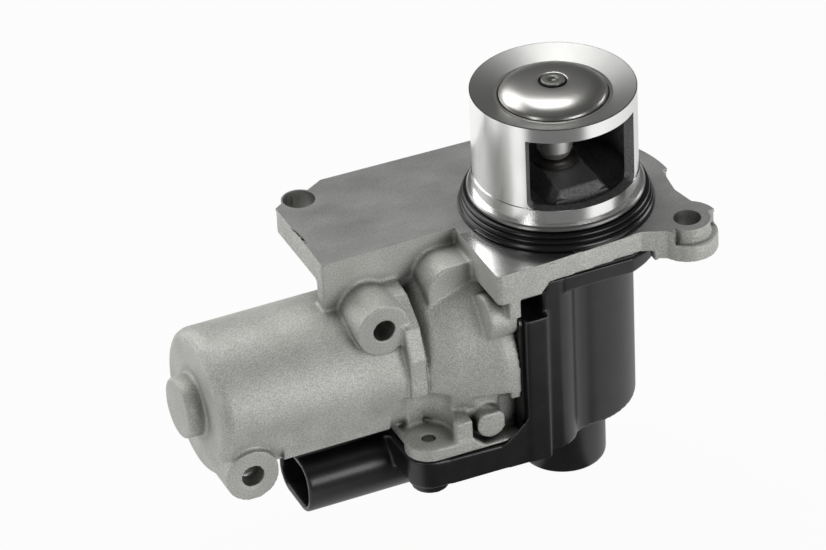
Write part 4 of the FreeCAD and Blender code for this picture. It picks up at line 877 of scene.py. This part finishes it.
# %% Floor
FLOOR_REACH = 6.0
HAIR = 0.2 * MM
low, high = cad_box
floor_mesh = bmesh.new()
bmesh.ops.create_grid(floor_mesh, x_segments=1, y_segments=1, size=FLOOR_REACH,
                      matrix=Matrix.Translation((0, 0, low[2] - HAIR)))
floor_data = bpy.data.meshes.new("floor")
floor_mesh.to_mesh(floor_data)
floor_mesh.free()
floor = bpy.data.objects.new("floor", floor_data)
scene.collection.objects.link(floor)
print("floor at", round(low[2] - HAIR, 4), "m")

# %% [markdown]
# Bright metal shows its surroundings more than itself. A real studio has white screens and dark
# gaps between them, so in reflections the paper has light and dark stretches around the valve.
# MIRRORED gives their levels, each at a share of a full turn from -X through -Y. The dark stretch is
# on the camera's side and gives the turned spigot its broad grey band.

# %% Screens around the valve
MIRRORED = ((0.0, 0.7), (0.03, 1.0), (0.065, 1.0), (0.09, 0.16), (0.28, 0.16), (0.31, 1.0),
            (0.5, 0.8), (0.6, 0.7), (0.7, 1.0), (0.97, 1.0))

paper = bpy.data.materials.new("paper")
paper.use_nodes = True
paper.node_tree.nodes.clear()
where = add(paper, "ShaderNodeTexCoord")
around = add(paper, "ShaderNodeTexGradient", gradient_type="RADIAL")
screens = add(paper, "ShaderNodeValToRGB")
stops = screens.color_ramp.elements
stops.remove(stops[1])
for position, level in MIRRORED:
    stop = stops[0] if position == 0.0 else stops.new(position)
    stop.color = (level, level, level, 1.0)
wire(paper, where.outputs["Object"], around.inputs["Vector"])
wire(paper, around.outputs["Fac"], screens.inputs["Fac"])
print("levels around the valve:", len(MIRRORED))

# %% [markdown]
# To the camera the same paper shines plain white. A little matt grey is mixed in, and that part takes
# the valve's shade, so the floor darkens where the valve stands. Dull surfaces meet only the matt
# grey, so the white glow doesn't light them from below.

# %% White paper
SHINING_SHARE = 0.96

rays = add(paper, "ShaderNodeLightPath")
shown = add(paper, "ShaderNodeMix", data_type="RGBA")
shown.inputs[7].default_value = (1.0, 1.0, 1.0, 1.0)
shining = add(paper, "ShaderNodeEmission", Strength=1.0)
wire(paper, rays.outputs["Is Camera Ray"], shown.inputs[0])
wire(paper, screens.outputs["Color"], shown.inputs[6])
wire(paper, shown.outputs[2], shining.inputs["Color"])

either = add(paper, "ShaderNodeMath", operation="MAXIMUM")
share = add(paper, "ShaderNodeMath", operation="MULTIPLY")
share.inputs[1].default_value = SHINING_SHARE
wire(paper, rays.outputs["Is Glossy Ray"], either.inputs[0])
wire(paper, rays.outputs["Is Camera Ray"], either.inputs[1])
wire(paper, either.outputs[0], share.inputs[0])

matt = add(paper, "ShaderNodeBsdfDiffuse", Color=(0.5, 0.5, 0.5, 1.0))
blend = add(paper, "ShaderNodeMixShader")
out = add(paper, "ShaderNodeOutputMaterial")
wire(paper, share.outputs[0], blend.inputs[0])
wire(paper, matt.outputs[0], blend.inputs[1])
wire(paper, shining.outputs[0], blend.inputs[2])
wire(paper, blend.outputs[0], out.inputs["Surface"])
floor_data.materials.append(paper)
print("paper nodes:", len(paper.node_tree.nodes))

# %% [markdown]
# Above the horizon the world is white to the camera, and almost dark to everything else. The lamps
# then decide how the valve is lit, and its metal keeps some deep tones.

# %% World
world = bpy.data.worlds.new("studio")
scene.world = world
world.use_nodes = True
sky = world.node_tree
background = sky.nodes["Background"]
background.inputs["Color"].default_value = (1.0, 1.0, 1.0, 1.0)
sky_rays = sky.nodes.new("ShaderNodeLightPath")
sky_level = sky.nodes.new("ShaderNodeMapRange")
sky_level.inputs["To Min"].default_value = 0.1
sky_level.inputs["To Max"].default_value = 1.0
sky.links.new(sky_rays.outputs["Is Camera Ray"], sky_level.inputs["Value"])
sky.links.new(sky_level.outputs["Result"], background.inputs["Strength"])
print("world:", world.name)

# %% [markdown]
# Six soft lamps stand a metre from the valve and face it. The two on the left light the barrel's end
# and the left of the spigot. The tall narrow one in front draws a streak on the turned wall, and the
# one overhead the bright patch on the dome. The one on the right lights the arch, and the last one
# lifts the far side.

# %% Lamps
LAMP_DISTANCE = 1.0
middle = (low + high) / 2


def soft_lamp(name, azimuth, elevation, size, power):
    """A lamp placed by its direction from the valve, in degrees from +X towards +Y."""
    turn, rise = math.radians(azimuth), math.radians(elevation)
    away = Vector((math.cos(turn) * math.cos(rise), math.sin(turn) * math.cos(rise), math.sin(rise)))
    data = bpy.data.lights.new(name, "AREA")
    data.shape = "RECTANGLE"
    data.size, data.size_y = size
    data.energy = power
    lamp = bpy.data.objects.new(name, data)
    lamp.location = middle + away * LAMP_DISTANCE
    lamp.rotation_euler = (middle - lamp.location).to_track_quat("-Z", "Y").to_euler()
    scene.collection.objects.link(lamp)


soft_lamp("left", 118, 38, (0.7, 0.7), 4.4)
soft_lamp("left_low", 140, 6, (0.7, 0.22), 1.4)
soft_lamp("front", 208, 12, (0.16, 0.8), 2.0)
soft_lamp("over", 68, 70, (0.5, 0.32), 3.2)
soft_lamp("right", 291, 8, (0.5, 0.5), 4.6)
soft_lamp("behind", 0, 8, (0.4, 0.4), 1.8)
